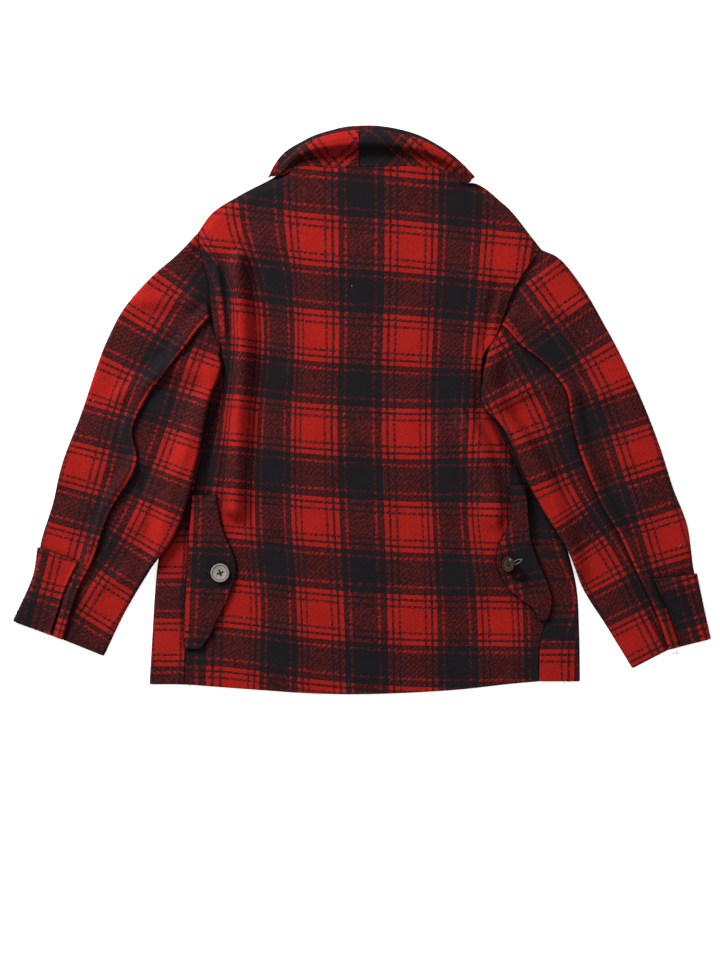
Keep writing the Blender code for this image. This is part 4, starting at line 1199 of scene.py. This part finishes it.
def make_nap(name, count, seed):
    """Loose wool fibres that stand on a panel, close to its edges more than elsewhere."""
    piece, _, _, _, along_with = cloth_cuts[name]
    mesh = piece.data
    random = np.random.RandomState(seed)
    n = len(mesh.polygons)
    centre = np.zeros(n * 3)
    normal = np.zeros(n * 3)
    area = np.zeros(n)
    mesh.polygons.foreach_get("center", centre)
    mesh.polygons.foreach_get("normal", normal)
    mesh.polygons.foreach_get("area", area)
    centre, normal = centre.reshape(-1, 3), normal.reshape(-1, 3)
    level = normal[:, 2]
    weight = area * np.where(level > 0.85, 0.35, np.where(level > -0.3, 2.6, 0.0))
    pick = random.choice(n, size=count, p=weight / weight.sum())
    uv = np.zeros(len(mesh.loops) * 2)
    mesh.uv_layers["cloth"].data.foreach_get("uv", uv)
    first_loop = np.zeros(n, dtype=int)
    mesh.polygons.foreach_get("loop_start", first_loop)
    root_uv = uv.reshape(-1, 2)[first_loop[pick]]
    side_step = random.normal(size=(count, 3))
    side_step -= (side_step * normal[pick]).sum(axis=1)[:, None] * normal[pick]
    side_step /= np.linalg.norm(side_step, axis=1)[:, None]
    root = centre[pick] + side_step * random.uniform(0, 1.2, (count, 1)) * MM - normal[pick] * 0.25 * MM
    length = random.uniform(1.0, 3.2, (count, 1)) * MM
    lean = random.uniform(0.5, 1.6, (count, 1))
    way = normal[pick] + side_step * lean
    way /= np.linalg.norm(way, axis=1)[:, None]
    tip = root + way * length
    wide = np.cross(way, normal[pick] + 0.3 * side_step[:, [1, 2, 0]])
    wide /= np.maximum(np.linalg.norm(wide, axis=1)[:, None], 1e-9)
    deep = np.cross(way, wide)
    base = 0.1 * MM
    tip[:, 2] = np.maximum(tip[:, 2], 0.1 * MM)
    corners = [root + wide * base, root - wide * base * 0.5 + deep * base * 0.87,
               root - wide * base * 0.5 - deep * base * 0.87, tip]
    verts = np.stack(corners, axis=1).reshape(-1, 3)
    k = np.arange(count)[:, None] * 4
    faces = np.stack([k + np.array(f) for f in ((0, 1, 2), (0, 3, 1), (1, 3, 2), (2, 3, 0))],
                     axis=1).reshape(-1, 3)
    fuzz = bpy.data.meshes.new(name + "_nap")
    fuzz.from_pydata(verts.tolist(), [], faces.tolist())
    bm = bmesh.new()
    bm.from_mesh(fuzz)
    bmesh.ops.recalc_face_normals(bm, faces=bm.faces[:])
    bm.to_mesh(fuzz)
    bm.free()
    layer = fuzz.uv_layers.new(name="cloth")
    loops = np.zeros(len(fuzz.loops), dtype=int)
    fuzz.loops.foreach_get("vertex_index", loops)
    layer.data.foreach_set("uv", root_uv[loops // 4].ravel())
    along_with.append(add_piece(name + "_nap", fuzz, WOOL))


make_back()
for side_name in ("left", "right"):
    make_front(side_name)
    upper, upper_top = make_sleeve(side_name, "upper")
    make_sleeve(side_name, "under")
    make_cuff_tab(side_name, upper, upper_top)
    make_flap(side_name)
    make_collar_end(side_name)
make_collar()
make_buttons()
make_lint()

# Columns: panel, fibres
NAP = [("back", 9000), ("front_left", 2500), ("front_right", 2500), ("sleeve_left_upper", 6500),
       ("sleeve_left_under", 4500), ("sleeve_right_upper", 6500), ("sleeve_right_under", 4500),
       ("collar_top", 2000), ("collar_under_left", 1200), ("collar_under_right", 1200),
       ("pocket_flap_left", 1200), ("pocket_flap_right", 1200), ("cuff_tab_left", 1500),
       ("cuff_tab_right", 1500)]
for seed, (panel, count) in enumerate(NAP):
    make_nap(panel, int(count * FINE), 20 + seed)

# Floor
bpy.ops.object.select_all(action="DESELECT")
bpy.ops.mesh.primitive_plane_add(size=8, location=(0, 0, -0.0002))
floor = bpy.context.object
floor.name = "floor"
floor_paint, floor_tree, floor_shader = new_material("floor_paint", (0.9, 0.9, 0.9, 1), 0.9)
floor_shader.inputs["Emission Color"].default_value = (1, 1, 1, 1)
floor_shader.inputs["Emission Strength"].default_value = 0.75
floor.data.materials.append(floor_paint)

for name, (piece, flat, area, rests_on, along_with) in cloth_cuts.items():
    print("cut", name, [round(side, 3) for side in flat], round(area, 4))

# Camera straight above, and soft studio light from the upper left
camera_data = bpy.data.cameras.new("camera")
camera_data.sensor_width = 36
camera_data.lens = 81.5
camera = bpy.data.objects.new("camera", camera_data)
camera.location = (-0.0021, -0.0966, 3.0)
bpy.context.scene.collection.objects.link(camera)
bpy.context.scene.camera = camera


def soft_light(name, place, target, size, power):
    lamp = bpy.data.lights.new(name, "AREA")
    lamp.shape = "SQUARE"
    lamp.size = size
    lamp.energy = power
    light = bpy.data.objects.new(name, lamp)
    bpy.context.scene.collection.objects.link(light)
    light.location = place
    way = np.array(target, dtype=float) - np.array(place, dtype=float)
    flat = math.hypot(way[0], way[1])
    light.rotation_euler = (math.atan2(flat, -way[2]), 0, math.atan2(way[1], way[0]) - math.pi / 2)
    return light


soft_light("key", (-1.9, 1.9, 1.25), (0, 0, 0), 0.8, 105)
soft_light("fill", (1.4, -1.2, 2.4), (0, 0, 0), 1.6, 10)
world = bpy.data.worlds.new("studio")
world.use_nodes = True
world.node_tree.nodes["Background"].inputs[0].default_value = (1, 1, 1, 1)
world.node_tree.nodes["Background"].inputs[1].default_value = 0.3
bpy.context.scene.world = world
bpy.context.scene.view_settings.view_transform = "Standard"
